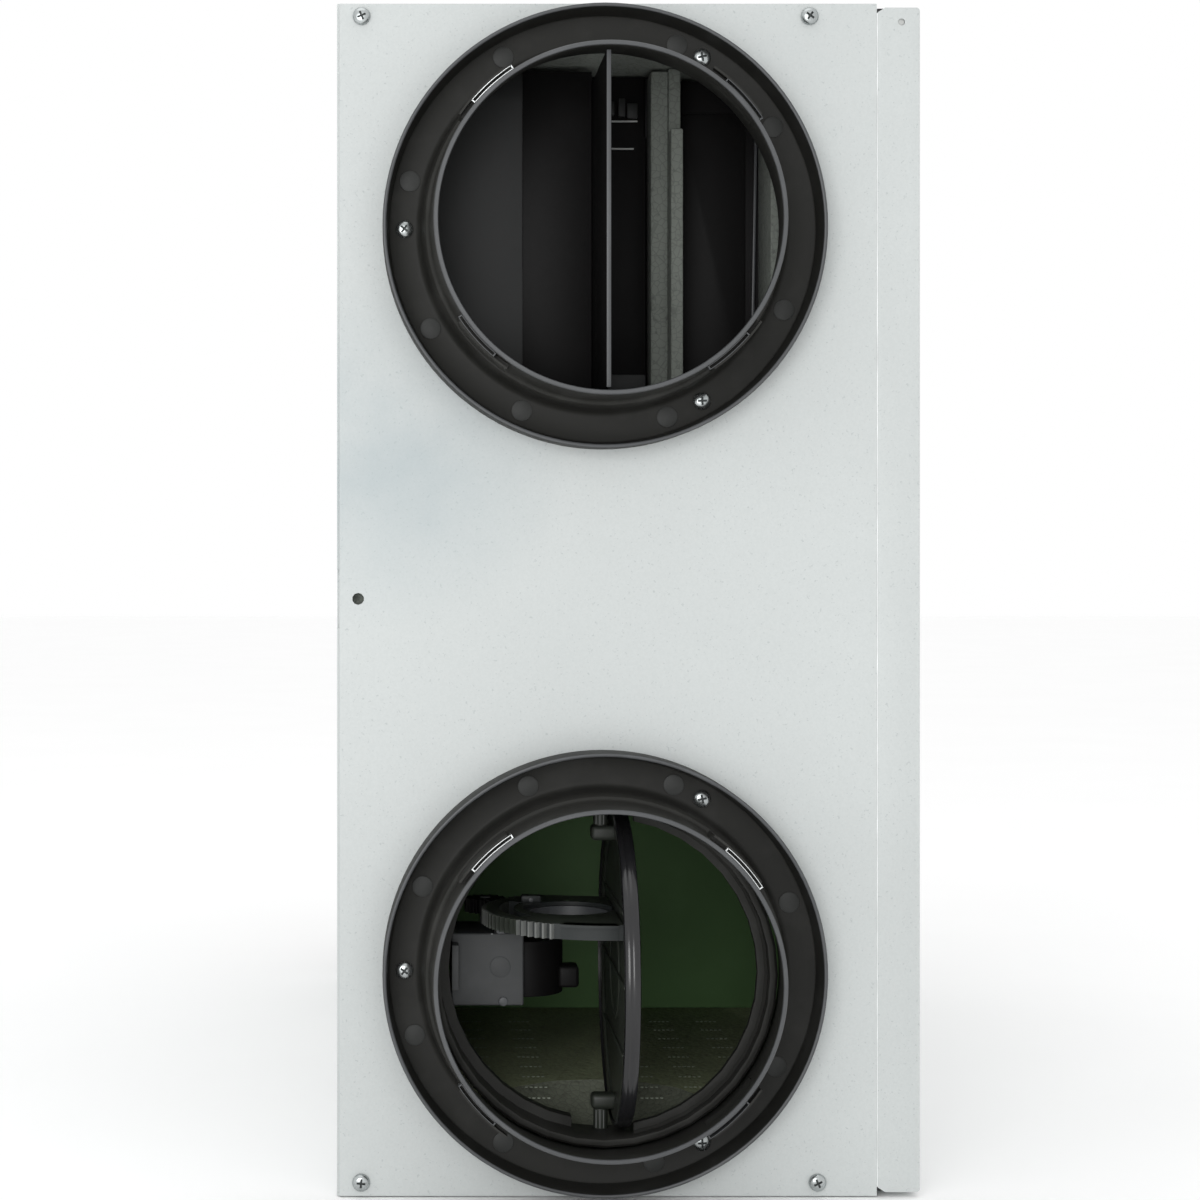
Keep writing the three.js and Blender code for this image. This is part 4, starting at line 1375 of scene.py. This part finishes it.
class Insulation:
    """The moulded bead foam and the green cradle behind the lower port."""

    ROUNDED = {
        "foam_top": 1.5,
        "foam_back": 1.0,
        "foam_divider_near": 0.8,
        "foam_divider_far": 0.8,
        "foam_divider_top": 0.8,
        "foam_port_wall": 0.9,
    }
    HOLLOW_REACH = 78.0
    VENT_TOP = 39.2
    VENT_X = (-62.0, -38.0, 12.0, 34.0, 58.0)
    VENT_ROWS = 9
    VENT_START_Y = -268.0
    VENT_PITCH = 22.0
    SLITS = 5
    SLIT_PITCH = 2.2

    def build(self) -> None:
        """Make the foam pieces, the cradle and the drain spout."""
        for node, radius in self.ROUNDED.items():
            foam = Form.of_node(node).round_edges(radius, 2, 50.0)
            foam.piece(f"{node}_bead", FOAM, replaces=[node])
        base = Form.of_node("foam_base").round_edges(0.8, 2, 70.0)
        base.piece(
            "foam_base_bead",
            FLOOR_FOAM_GREEN_BOUNCE,
            replaces=["foam_base"],
            extra=[(HOLLOW_SHADE, self._is_hollow)],
        )
        cradle = Form.of_node("core_cradle").round_edges(1.2, 2, 60.0)
        cradle.piece("core_cradle_moulding", GREEN, replaces=["core_cradle"])
        spout = Form.of_node("drain_spout").round_edges(0.4, 2, 60.0)
        spout.piece("drain_spout_tube", BLACK, replaces=["drain_spout"])
        self._vent_marks()

    def _is_hollow(self, face: bmesh.types.BMFace) -> bool:
        """Say whether a face is in the round hollow that the flap swings over, where the painted shade
        goes.
        """
        reach = (face.calc_center_median() - Vector(DamperSizes().axis)).length
        return reach < self.HOLLOW_REACH and abs(face.normal.z) < 0.999

    def _vent_marks(self) -> None:
        """Set rows of small moulding-vent marks into the chamber's floor."""
        marks = Form()
        for row in range(self.VENT_ROWS):
            y = self.VENT_START_Y + self.VENT_PITCH * row
            for x in self.VENT_X:
                for slit in range(self.SLITS):
                    foot = (x + self.SLIT_PITCH * slit - 4.4, y, self.VENT_TOP - 0.15)
                    marks.rod(Axis.Z, foot, 0.35, 0.7, sides=10)
        marks.piece("floor_vent_marks", PALE_FOAM)


class Core:
    """The cross-flow core, its end plates and the two filters."""

    def build(self) -> None:
        """Make the plate stack, the end plates and the fleece."""
        stack = Form.of_node("core_block").round_edges(0.5, 1, 60.0)
        stack.piece("core_stack", CORE, replaces=["core_block"])
        for place in ("back", "front"):
            node = f"core_end_{place}"
            cover = Form.of_node(node).round_edges(0.6, 2, 60.0)
            cover.piece(f"{node}_plate", BLACK, replaces=[node])
        for end in End:
            node = f"filter_{end.label}"
            fleece = Form.of_node(node).round_edges(2.2, 3, 60.0)
            fleece.piece(f"{node}_fleece", FLEECE, replaces=[node])


@dataclass(frozen=True)
class BlowerSizes:
    """Sizes of one blower, in millimetres."""

    y: float = 165.0
    z: float = 400.0
    radius: float = 58.0
    blade_inner: float = 47.5
    blade_outer: float = 57.0
    blade_thick: float = 0.9
    blade_count: int = 40
    low_x: float = -94.0
    high_x: float = -27.0
    hub: tuple[Point, ...] = (
        (4.5, -96.0), (56.0, -96.0), (57.5, -95.4), (58.0, -94.6), (58.0, -93.6), (40.0, -93.4),
        (24.0, -90.0), (13.0, -80.0), (9.0, -73.0), (8.4, -72.0), (4.5, -72.0),
    )
    rim: tuple[Point, ...] = (
        (49.0, -28.0), (57.4, -28.0), (58.0, -27.4), (58.0, -25.6), (57.4, -25.0), (50.0, -25.0),
        (49.0, -25.6),
    )


class Blower:
    """A forward-curved centrifugal blower behind one upper port."""

    def __init__(self, end: End, sizes: BlowerSizes = BlowerSizes()) -> None:
        """Set out the blower of one end.

        Args:
            end: The end of the unit.
            sizes: The blower's sizes.
        """
        self.end = end
        self.sizes = sizes
        self.centre = (0.0, end.value * sizes.y, sizes.z)

    def _wheel(self) -> Form:
        """Return the impeller: hub, rim and curved blades."""
        size = self.sizes
        wheel = Form().ring(Axis.X, self.centre, size.hub, 64)
        wheel.ring(Axis.X, self.centre, size.rim, 64)
        blades = Form()
        for index in range(size.blade_count):
            turn = 360.0 * index / size.blade_count
            front, back = [], []
            for step in range(4):
                radius = size.blade_inner + (size.blade_outer - size.blade_inner) * step / 3
                lean = turn + 2.2 * step * step * 0.55
                front.append(polar(radius, lean))
                back.append(polar(radius, lean + math.degrees(size.blade_thick / radius)))
            outline = [(size.low_x, *pair) for pair in front + back[::-1]]
            blades.prism(outline, (size.high_x - size.low_x, 0, 0))
        return wheel.add(blades.moved(self.centre))

    def build(self) -> None:
        """Make the housing, the motor and the impeller."""
        label = self.end.label
        housing = Form.of_node(f"blower_housing_{label}").round_edges(0.6, 2, 55.0)
        housing.piece(f"blower_scroll_{label}", CHARCOAL, replaces=[f"blower_housing_{label}"])
        motor = Form.of_node(f"blower_motor_{label}").round_edges(0.5, 2, 60.0)
        motor.piece(f"blower_motor_{label}_can", PLATED, replaces=[f"blower_motor_{label}"])
        self._wheel().piece(
            f"blower_wheel_{label}",
            GREY,
            f"impeller_{label}",
            replaces=[f"blower_impeller_{label}"],
        )


class Controls:
    """The control tray, its board with components, the terminal block and the cable gland."""

    # X, Z and then radius and height, or width and height, in millimetres
    CANS = ((46, 470, 5, 14), (60, 474, 4, 11), (44, 452, 3.2, 9))
    CHIPS = ((52, 430, 10, 10), (40, 412, 6, 5), (58, 408, 7, 5), (84, 462, 16, 13))

    def build(self) -> None:
        """Make the tray and everything in it."""
        tray = Form.of_node("control_housing").round_edges(0.5, 2, 60.0)
        tray.piece("control_tray", BLACK, replaces=["control_housing"])
        board = Form.of_node("control_board").round_edges(0.15, 1, 60.0)
        board.piece("control_board_laminate", LAMINATE, replaces=["control_board"])
        self._components()
        block = Form.of_node("terminal_block").round_edges(0.3, 1, 60.0)
        block.piece("terminal_block_body", PALE, replaces=["terminal_block"])
        screws = Form()
        low, high = box_mm("terminal_block")
        for index in range(5):
            foot = (88.0, high.y - 0.2, low.z + 7.5 + 11.0 * index)
            screws.rod(Axis.Y, foot, 0.6, 2.1, sides=16, edge=0.15)
        screws.piece("terminal_screws", FASTENER)
        gland = Form.of_node("cable_gland").round_edges(0.4, 2, 50.0)
        gland.piece("cable_gland_body", BLACK, replaces=["cable_gland"])

    @staticmethod
    def _components() -> None:
        """Set capacitors, chips, a relay and a coil on the board."""
        face = box_mm("control_board")[1].y - 0.1
        cans = Form()
        for x, z, radius, height in Controls.CANS:
            cans.rod(Axis.Y, (x, face, z), height, radius, sides=24, edge=0.5)
        cans.piece("board_capacitors", BLACK)
        chips = Form()
        for x, z, wide, high in Controls.CHIPS:
            foot = (x - wide / 2, face, z - high / 2)
            chips.box(foot, (x + wide / 2, face + 2.2, z + high / 2), 0.2, 1)
        chips.piece("board_chips", CHARCOAL)
        section = [polar_pair(7.0, 2.6, 30 * step) for step in range(12)]
        coil = Form().ring(Axis.Y, (50, face + 4, 385), section, 32)
        coil.piece("board_coil", COPPER)


def polar_pair(radius: float, reach: float, degrees: float) -> tuple[float, float]:
    """Return a [radius, height] pair on a small circle about a ring's middle line."""
    across, up = polar(reach, degrees)
    return radius + across, up


# --- Upper port, behind its web -----------------------------------------------------------------


def rounded_outline(low: Point, high: Point, y: float, radius: float, steps: int = 4) -> list[Point]:
    """Return a rectangle with round corners in the plane of one Y, from [x, z] corners.

    Args:
        low: Its lowest [x, z] corner.
        high: Its highest [x, z] corner.
        y: The plane's Y.
        radius: The rounding of each corner.
        steps: Lines across each corner.

    Returns:
        The outline's points.
    """
    points = []
    middles = (
        (high[0] - radius, high[1] - radius, 0.0),
        (low[0] + radius, high[1] - radius, 90.0),
        (low[0] + radius, low[1] + radius, 180.0),
        (high[0] - radius, low[1] + radius, 270.0),
    )
    for x, z, first in middles:
        for step in range(steps + 1):
            across, up = polar(radius, first + 90.0 * step / steps)
            points.append((x + across, y, z + up))
    return points


@dataclass(frozen=True)
class PortSizes:
    """Sizes and places of what stands behind the upper port, in millimetres."""

    web_front: float = -325.4
    cover_face: float = -227.0
    cover_step: Point = (13.4, 15.3)
    cover_step_z: float = 471.0
    cover_top: float = 498.9
    sockets: tuple[tuple[float, float, float, float], ...] = (
        (0.6, 3.8, 480.4, 488.6),
        (4.6, 9.4, 479.6, 486.4),
        (-4.6, -1.2, 481.0, 487.2),
    )
    bars: tuple[tuple[float, float, float], ...] = ((-2.6, 9.6, 478.2), (-2.6, 7.9, 465.6))
    sill: tuple[Point, Point] = ((-10.9, -236.0, 351.0), (12.6, -226.9, 361.8))
    shoulder: tuple[Point, Point] = ((14.0, -244.0, 335.6), (21.9, -224.2, 498.6))
    shade: tuple[Point, Point] = ((-44.3, -251.2, 347.0), (-13.3, -250.3, 497.0))
    panel_low: Point = (28.4, 356.5)
    panel_high: Point = (59.8, 483.0)
    panel_face: float = -222.0
    arc_centre: Point = (-39.4, -262.0, 425.6)
    arc_radius: float = 118.0
    arc_section: tuple[Point, ...] = ((-0.6, -0.5), (0.6, -0.5), (0.3, 0.4), (-0.3, 0.4))
    arc_span: float = 44.0
    strip: tuple[Point, ...] = ((63.9, 479.0), (65.2, 479.0), (62.9, 346.0), (61.6, 346.0))
    strip_lift: float = 3.4


class UpperPort:
    """The web across the upper port and the fittings that show beside it."""

    def __init__(self, sizes: PortSizes = PortSizes()) -> None:
        """Keep the sizes."""
        self.sizes = sizes

    def build(self) -> None:
        """Make the web, its cover, the sockets and the raised panel."""
        size = self.sizes
        web = Form.of_node("port_web").round_edges(0.3, 2, 60.0)
        step_low, step_high = size.cover_step
        web.box(
            (step_low - 1, size.cover_face, size.cover_step_z),
            (step_high, size.cover_face + 3, size.cover_top),
            0.3,
        )
        web.piece(
            "port_web_moulding",
            BLACK,
            replaces=["port_web"],
            extra=[(EDGE_HIGHLIGHT, self._is_front_edge)],
        )
        fittings = Form()
        for low_x, high_x, low_z, high_z in size.sockets:
            face = size.cover_face
            fittings.box((low_x, face - 3.4, low_z), (high_x, face + 0.5, high_z), 0.3)
        fittings.piece("port_sockets", CHARCOAL)
        bars = Form()
        for low_x, high_x, z in size.bars:
            foot = (low_x, size.cover_face - 1.0, z)
            bars.box(foot, (high_x, size.cover_face + 0.3, z + 0.75), 0.15, 1)
        bars.piece("port_light_bars", PALE)
        Form().box(*size.sill, radius=0.6).piece("port_sill", CHARCOAL)
        Form().box(*size.shade, radius=0.2).piece("port_shade_plate", BLACK)
        Form().box(*size.shoulder, radius=0.9).piece("port_foam_shoulder", FOAM)
        panel = Form().prism(
            rounded_outline(size.panel_low, size.panel_high, size.panel_face - 0.9, 5.0),
            (0, 1.1, 0),
            0.35,
        )
        panel.piece("port_raised_panel", BLACK)
        self._edge_strip()

    def _is_front_edge(self, face: bmesh.types.BMFace) -> bool:
        """Say whether a face is on the web's front edge, where the painted highlight goes."""
        return face.normal.y < -0.5 and face.calc_center_median().y < self.sizes.web_front + 3

    def _edge_strip(self) -> None:
        """Stand the slanting strip and the moulded arc before the foam cheek."""
        size = self.sizes
        y = size.panel_face - size.strip_lift
        outline = [(x, y, z) for x, z in size.strip]
        # a thin light strip along the foam cheek's edge, in the painted-highlight plastic
        Form().prism(outline, (0, 2.4, 0), 0.25).piece("port_edge_strip", EDGE_HIGHLIGHT)
        section = [(size.arc_radius + reach, height) for reach, height in size.arc_section]
        start = -size.arc_span / 2
        arc = Form().ring(Axis.Y, size.arc_centre, section, 200, size.arc_span, start)
        arc.piece("port_cheek_arc", FOAM)


# --- Port damper --------------------------------------------------------------------------------


@dataclass(frozen=True)
class DamperSizes:
    """Sizes of the port damper, in millimetres."""

    axis: Point = (-11.5, -277.0, 99.15)
    plate_x: float = -3.7
    plate: tuple[Point, ...] = (
        (0.0, -1.5), (20.0, -1.5), (20.6, -2.0), (22.0, -2.0), (22.6, -1.5), (57.5, -1.5), (58.6, -2.4),
        (66.4, -2.4), (67.1, -1.9), (67.1, 1.9), (66.4, 2.4), (58.6, 2.4), (57.5, 1.5), (0.0, 1.5),
    )
    seal: tuple[Point, ...] = (
        (66.9, -3.4), (67.9, -3.4), (68.8, -3.0), (69.4, -2.1), (69.5, -1.2), (69.1, -0.5), (69.1, 0.5),
        (69.5, 1.2), (69.4, 2.1), (68.8, 3.0), (67.9, 3.4), (66.9, 3.4),
    )
    rib_reach: float = 55.5
    rib_z: tuple[float, ...] = (-30.0, 0.0, 30.0)
    rib_stand: float = 2.0
    rib_half: float = 0.7
    cap: Point = (55.5, 62.3)
    cap_half: float = 4.4
    cap_front: float = 7.3
    stem_end: float = 73.8
    stem_radius: float = 3.2
    flutes: tuple[float, ...] = (-2.1, -0.5, 1.1)
    gear_z: Point = (118.25, 124.65)
    gear_band: Point = (44.0, 50.2)
    gear_lip: Point = (45.0, 51.6)
    tooth_root: float = 50.4
    # X range of the gear teeth that get the painted highlight
    rubbed_x: Point = (-49.5, -33.0)
    crescent: Point = (38.0, 44.5)
    # part turns, each as its angle and where it starts, in degrees
    crescent_turn: Point = (62.0, 152.0)
    band_turn: Point = (28.0, 246.0)
    lip_high: float = 1.2
    hook: tuple[Point, Point] = ((-34.0, 17.0, 25.2), (-25.0, 22.5, 28.6))
    hook_pin: Point = (-29.6, 16.6, 26.6)
    collar: tuple[Point, ...] = ((17.0, 118.7), (20.0, 118.7), (20.0, 123.1), (17.0, 123.1))
    collar_back: float = 14.0
    boss_z: float = 70.9
    boss_high: float = 3.4
    boss_radii: Point = (5.2, 9.4)
    motor_low: Point = (-76.9, -272.5, 80.9)
    motor_high: Point = (-45.0, -236.5, 112.9)
    motor_disc: Point = (-55.4, 98.0)
    motor_tab_y: Point = (-281.4, -266.0)
    motor_tab_z: Point = (89.2, 109.0)
    motor_neck: float = 13.2
    knob: Point = (-54.0, 82.8)
    nut: Point = (-55.0, -272.2, 113.6)
    drum: Point = (-44.4, -250.5, 83.9)
    drum_high: float = 24.6
    drum_radius: float = 18.0
    drum_arm: tuple[Point, Point] = ((-29.0, -262.0, 86.8), (-19.8, -250.0, 96.6))
    top_block: tuple[Point, Point] = ((-58.4, -271.5, 111.4), (-48.4, -266.0, 116.2))
    # corners of a tiny box that carries a painted glint in the fastener finish, not a part
    pin: tuple[Point, Point] = ((-59.4, -272.4, 112.0), (-58.7, -271.7, 112.8))


class PortDamper:
    """The lower port's damper: flap, stems, half gear, pinion and motor."""

    def __init__(self, sizes: DamperSizes = DamperSizes()) -> None:
        """Keep the sizes."""
        self.sizes = sizes

    def _at(self, x: float, y: float, z: float) -> Point:
        """Return a point given from the pivot line's middle."""
        axis = self.sizes.axis
        return (axis[0] + x, axis[1] + y, axis[2] + z)

    def _flap(self) -> None:
        """Make the plate with its raised rim, hinge blocks, stems and bead seal."""
        size = self.sizes
        centre = (size.plate_x, size.axis[1], size.axis[2])
        flap = Form().ring(Axis.X, centre, size.plate, 128, closed=False)
        thick = size.rib_half
        for z in size.rib_z:
            reach = math.sqrt(size.rib_reach ** 2 - z * z)
            for way in (-1, 1):
                x = size.plate_x + way * size.rib_stand
                flap.box(
                    (x - thick, size.axis[1] - reach, size.axis[2] + z - thick),
                    (x + thick, size.axis[1] + reach, size.axis[2] + z + thick),
                    0.3,
                    1,
                )
        half, end = size.cap_half, size.stem_end
        flutes = Form()
        for way in (-1, 1):
            low, high = sorted(way * reach for reach in size.cap)
            flap.box(self._at(-half, -half, low), self._at(size.cap_front, half, high), 2.0, 4)
            foot = size.cap[0] + 2
            start, length = self._at(0, 0, way * foot), way * (end - foot)
            flap.rod(Axis.Z, start, length, size.stem_radius, sides=32, edge=0.3)
            low, high = sorted((way * (size.cap[1] + 0.3), way * (end - 3.2)))
            for x in size.flutes:
                front = -math.sqrt(size.stem_radius ** 2 - x * x)
                corner = self._at(x - 0.3, front - 0.12, low)
                flutes.box(corner, self._at(x + 0.3, front + 0.4, high), 0.1, 1)
        flap.piece("damper_plate", FLAP, "damper", replaces=["damper_flap"])
        # the flutes carry the lighter painted-highlight plastic
        flutes.piece("damper_stem_flutes", GEAR_HIGHLIGHT, "damper")
        seal = Form().ring(Axis.X, centre, size.seal, 160)
        seal.piece("damper_seal_bead", SEAL, "damper", replaces=["damper_gasket"])

    def _gear(self) -> None:
        """Make the half gear with its crescent window, band and lip, and the hook's pin."""
        size = self.sizes
        low, high = size.gear_z
        gear = Form.of_node("damper_gear")
        inner, outer = size.crescent
        section = [(inner, low - 2), (outer, low - 2), (outer, high + 2), (inner, high + 2)]
        base = (size.axis[0], size.axis[1], 0.0)
        window = Form().ring(Axis.Z, base, section, 96, *size.crescent_turn)
        gear = gear.without(window)
        band = size.gear_band
        ring = [(band[0], low), (band[1], low), (band[1], high), (band[0], high)]
        gear.add(Form().ring(Axis.Z, base, ring, 120, *size.band_turn))
        lip = size.gear_lip
        foot = high - size.lip_high
        edge = [(lip[0], foot), (lip[1], foot), (lip[1], high), (lip[0], high)]
        gear.add(Form().ring(Axis.Z, base, edge, 120, *size.band_turn))
        gear.box(self._at(*size.hook[0]), self._at(*size.hook[1]), 0.8, 2)
        # lit teeth get the painted highlight, the top and other teeth the flap plastic as painted shade
        gear.piece(
            "damper_half_gear",
            GEAR,
            "damper",
            replaces=["damper_gear"],
            extra=[(FLAP, self._is_shaded), (GEAR_HIGHLIGHT, self._is_tooth)],
        )
        middle = (size.axis[0] - size.collar_back, size.axis[1], 0.0)
        collar = Form().ring(Axis.Z, middle, size.collar, 64)
        # the gear's collar ring is laid in the lighter painted-highlight plastic
        collar.piece("damper_gear_collar", EDGE_HIGHLIGHT, "damper")
        pin = Form().rod(Axis.Y, self._at(*size.hook_pin), 1.4, 1.0, sides=20, edge=0.15)
        pin.piece("damper_hook_pin", GREY, "damper")
        pinion = Form.of_node("damper_pinion").round_edges(0.2, 1, 60.0)
        pinion.piece("damper_drive_pinion", BLACK, "damper_drive", replaces=["damper_pinion"])

    def _is_tooth(self, face: bmesh.types.BMFace) -> bool:
        """Say whether a face is on one of the lit teeth at the half gear's front, where the painted
        highlight goes.

        Args:
            face: The face.

        Returns:
            True on a rubbed tooth.
        """
        middle = face.calc_center_median()
        radius = math.hypot(middle.x - self.sizes.axis[0], middle.y - self.sizes.axis[1])
        low, high = self.sizes.rubbed_x
        return radius > self.sizes.tooth_root and face.normal.z < 0.7 and low < middle.x < high

    def _is_shaded(self, face: bmesh.types.BMFace) -> bool:
        """Say whether a face is on the half gear's top or on its other teeth, where the flap plastic
        goes as painted shade.
        """
        return face.normal.z > 0.7 or face.calc_center_median().x < self.sizes.rubbed_x[0]

    def _motor(self) -> None:
        """Make the motor's box, its cover and its small fittings."""
        size = self.sizes
        low, high = size.motor_low, size.motor_high
        motor = Form().box(low, high, 0.9, 3)
        disc = (size.motor_disc[0], low[1] - 0.35, size.motor_disc[1])
        motor.rod(Axis.Y, disc, 1.0, 4.6, sides=48, edge=0.2)
        x, y = middle_mm("damper_pinion").xy
        motor.rod(Axis.Z, (x, y, high[2] - 1), size.motor_neck, 2.4, sides=24, edge=0.3)
        (front, back), (foot, top) = size.motor_tab_y, size.motor_tab_z
        motor.box((low[0], front, foot), (low[0] + 3, back, top), 0.4)
        motor.piece("damper_motor", MOTOR, replaces=["damper_actuator"])
        knob = (size.knob[0], low[1] - 0.9, size.knob[1])
        knobs = Form().rod(Axis.Y, knob, 3.0, 2.1, sides=24, edge=0.5)
        knobs.rod(Axis.Y, size.nut, 2.4, 2.2, sides=8, edge=0.5)
        knobs.piece("damper_motor_knobs", GREY)
        cover = Form()
        cover.rod(Axis.Z, size.drum, size.drum_high, size.drum_radius, sides=64, edge=0.5)
        cover.box(*size.drum_arm, 1.6, 3)
        cover.box(*size.top_block, 0.7, 2)
        cover.piece("damper_motor_cover", BLACK)
        # a tiny bright box: a painted glint on the motor cover
        pin = Form().box(*size.pin, 0.15, 1)
        pin.piece("damper_motor_pin", FASTENER)

    def _seat(self) -> None:
        """Make the sleeve with its half seats and the two stem bosses."""
        size = self.sizes
        seat = Form.of_node("damper_seat").round_edges(0.3, 2, 50.0)
        for way in (-1, 1):
            foot = self._at(0, 0, way * size.boss_z)
            seat.rod(Axis.Z, foot, way * size.boss_high, *size.boss_radii, sides=48)
        seat.piece("damper_seat_sleeve", COLLAR, replaces=["damper_seat"])

    def build(self) -> None:
        """Make the whole damper."""
        self._seat()
        self._flap()
        self._gear()
        self._motor()


# --- Studio -------------------------------------------------------------------------------------


@dataclass(frozen=True)
class StudioSizes:
    """Sizes of the studio, in metres and degrees."""

    camera_at: Point = (-0.1040, -1.3800, 0.2864)
    lens: float = 75.3
    shift: Point = (0.175, -0.05)
    floor_half: float = 8.0
    backdrop: Color = (1.0, 1.0, 1.0)


class Studio:
    """A plain pale floor, soft lights and the camera."""

    def __init__(self, sizes: StudioSizes = StudioSizes()) -> None:
        """Keep the sizes."""
        self.sizes = sizes

    def _floor(self) -> None:
        """Lay the floor under the unit."""
        half = self.sizes.floor_half
        form = bmesh.new()
        bmesh.ops.create_grid(form, x_segments=1, y_segments=1, size=half)
        bmesh.ops.translate(form, vec=(0, 0, -0.0004), verts=form.verts)
        data = bpy.data.meshes.new("studio_floor")
        form.to_mesh(data)
        form.free()
        floor = bpy.data.objects.new("studio_floor", data)
        bpy.context.scene.collection.objects.link(floor)
        graph = Graph("studio_floor")
        tone = graph.noise(6.0, 2.0)
        graph.surface(
            Base_Color=graph.mix(tone, (0.96, 0.96, 0.96), (0.99, 0.99, 0.99)),
            Roughness=tone * 0.1 + 0.7,
        )
        data.materials.append(graph.material)

    @staticmethod
    def _light(name: str, place: Point, aim: Point, size: Point, watts: float) -> None:
        """Hang one soft rectangular light.

        Args:
            name: Its name.
            place: Where it hangs.
            aim: The point that it shines at.
            size: Its width and height.
            watts: Its power.
        """
        lamp = bpy.data.lights.new(name, "AREA")
        lamp.shape = "RECTANGLE"
        lamp.size, lamp.size_y = size
        lamp.energy = watts
        made = bpy.data.objects.new(name, lamp)
        made.location = place
        made.rotation_euler = (Vector(aim) - Vector(place)).to_track_quat("-Z", "Y").to_euler()
        bpy.context.scene.collection.objects.link(made)

    def _camera(self) -> None:
        """Stand the camera level, square to the near end."""
        size = self.sizes
        data = bpy.data.cameras.new("camera")
        data.lens = size.lens
        data.sensor_width = 36.0
        data.shift_x, data.shift_y = size.shift
        made = bpy.data.objects.new("camera", data)
        made.location = size.camera_at
        made.rotation_euler = Euler((math.radians(90), 0, 0))
        bpy.context.scene.collection.objects.link(made)
        bpy.context.scene.camera = made

    def build(self) -> None:
        """Make the floor, the lights, the world and the camera."""
        scene = bpy.context.scene
        scene.view_settings.view_transform = "Standard"
        world = bpy.data.worlds.new("studio")
        world.use_nodes = True
        back = world.node_tree.nodes["Background"]
        back.inputs["Color"].default_value = (*self.sizes.backdrop, 1.0)
        back.inputs["Strength"].default_value = 1.0
        scene.world = world
        self._floor()
        self._light("top_soft", (-0.2, -0.6, 1.9), (0, -0.2, 0.3), (1.4, 1.2), 4.0)
        self._light("front_soft", (-0.55, -2.2, 0.5), (0, -0.28, 0.26), (0.9, 0.9), 14.0)
        self._camera()


def main() -> None:
    """Build the unit and its studio."""
    logging.basicConfig(level=logging.INFO, format="%(message)s")
    Cabinet().build()
    Door().build()
    for end in End:
        for port in PORT_NAMES:
            DuctCollar(end, port).build()
        Blower(end).build()
    Fasteners().build()
    Insulation().build()
    Core().build()
    Controls().build()
    UpperPort().build()
    PortDamper().build()
    Studio().build()


if __name__ == "__main__":
    main()
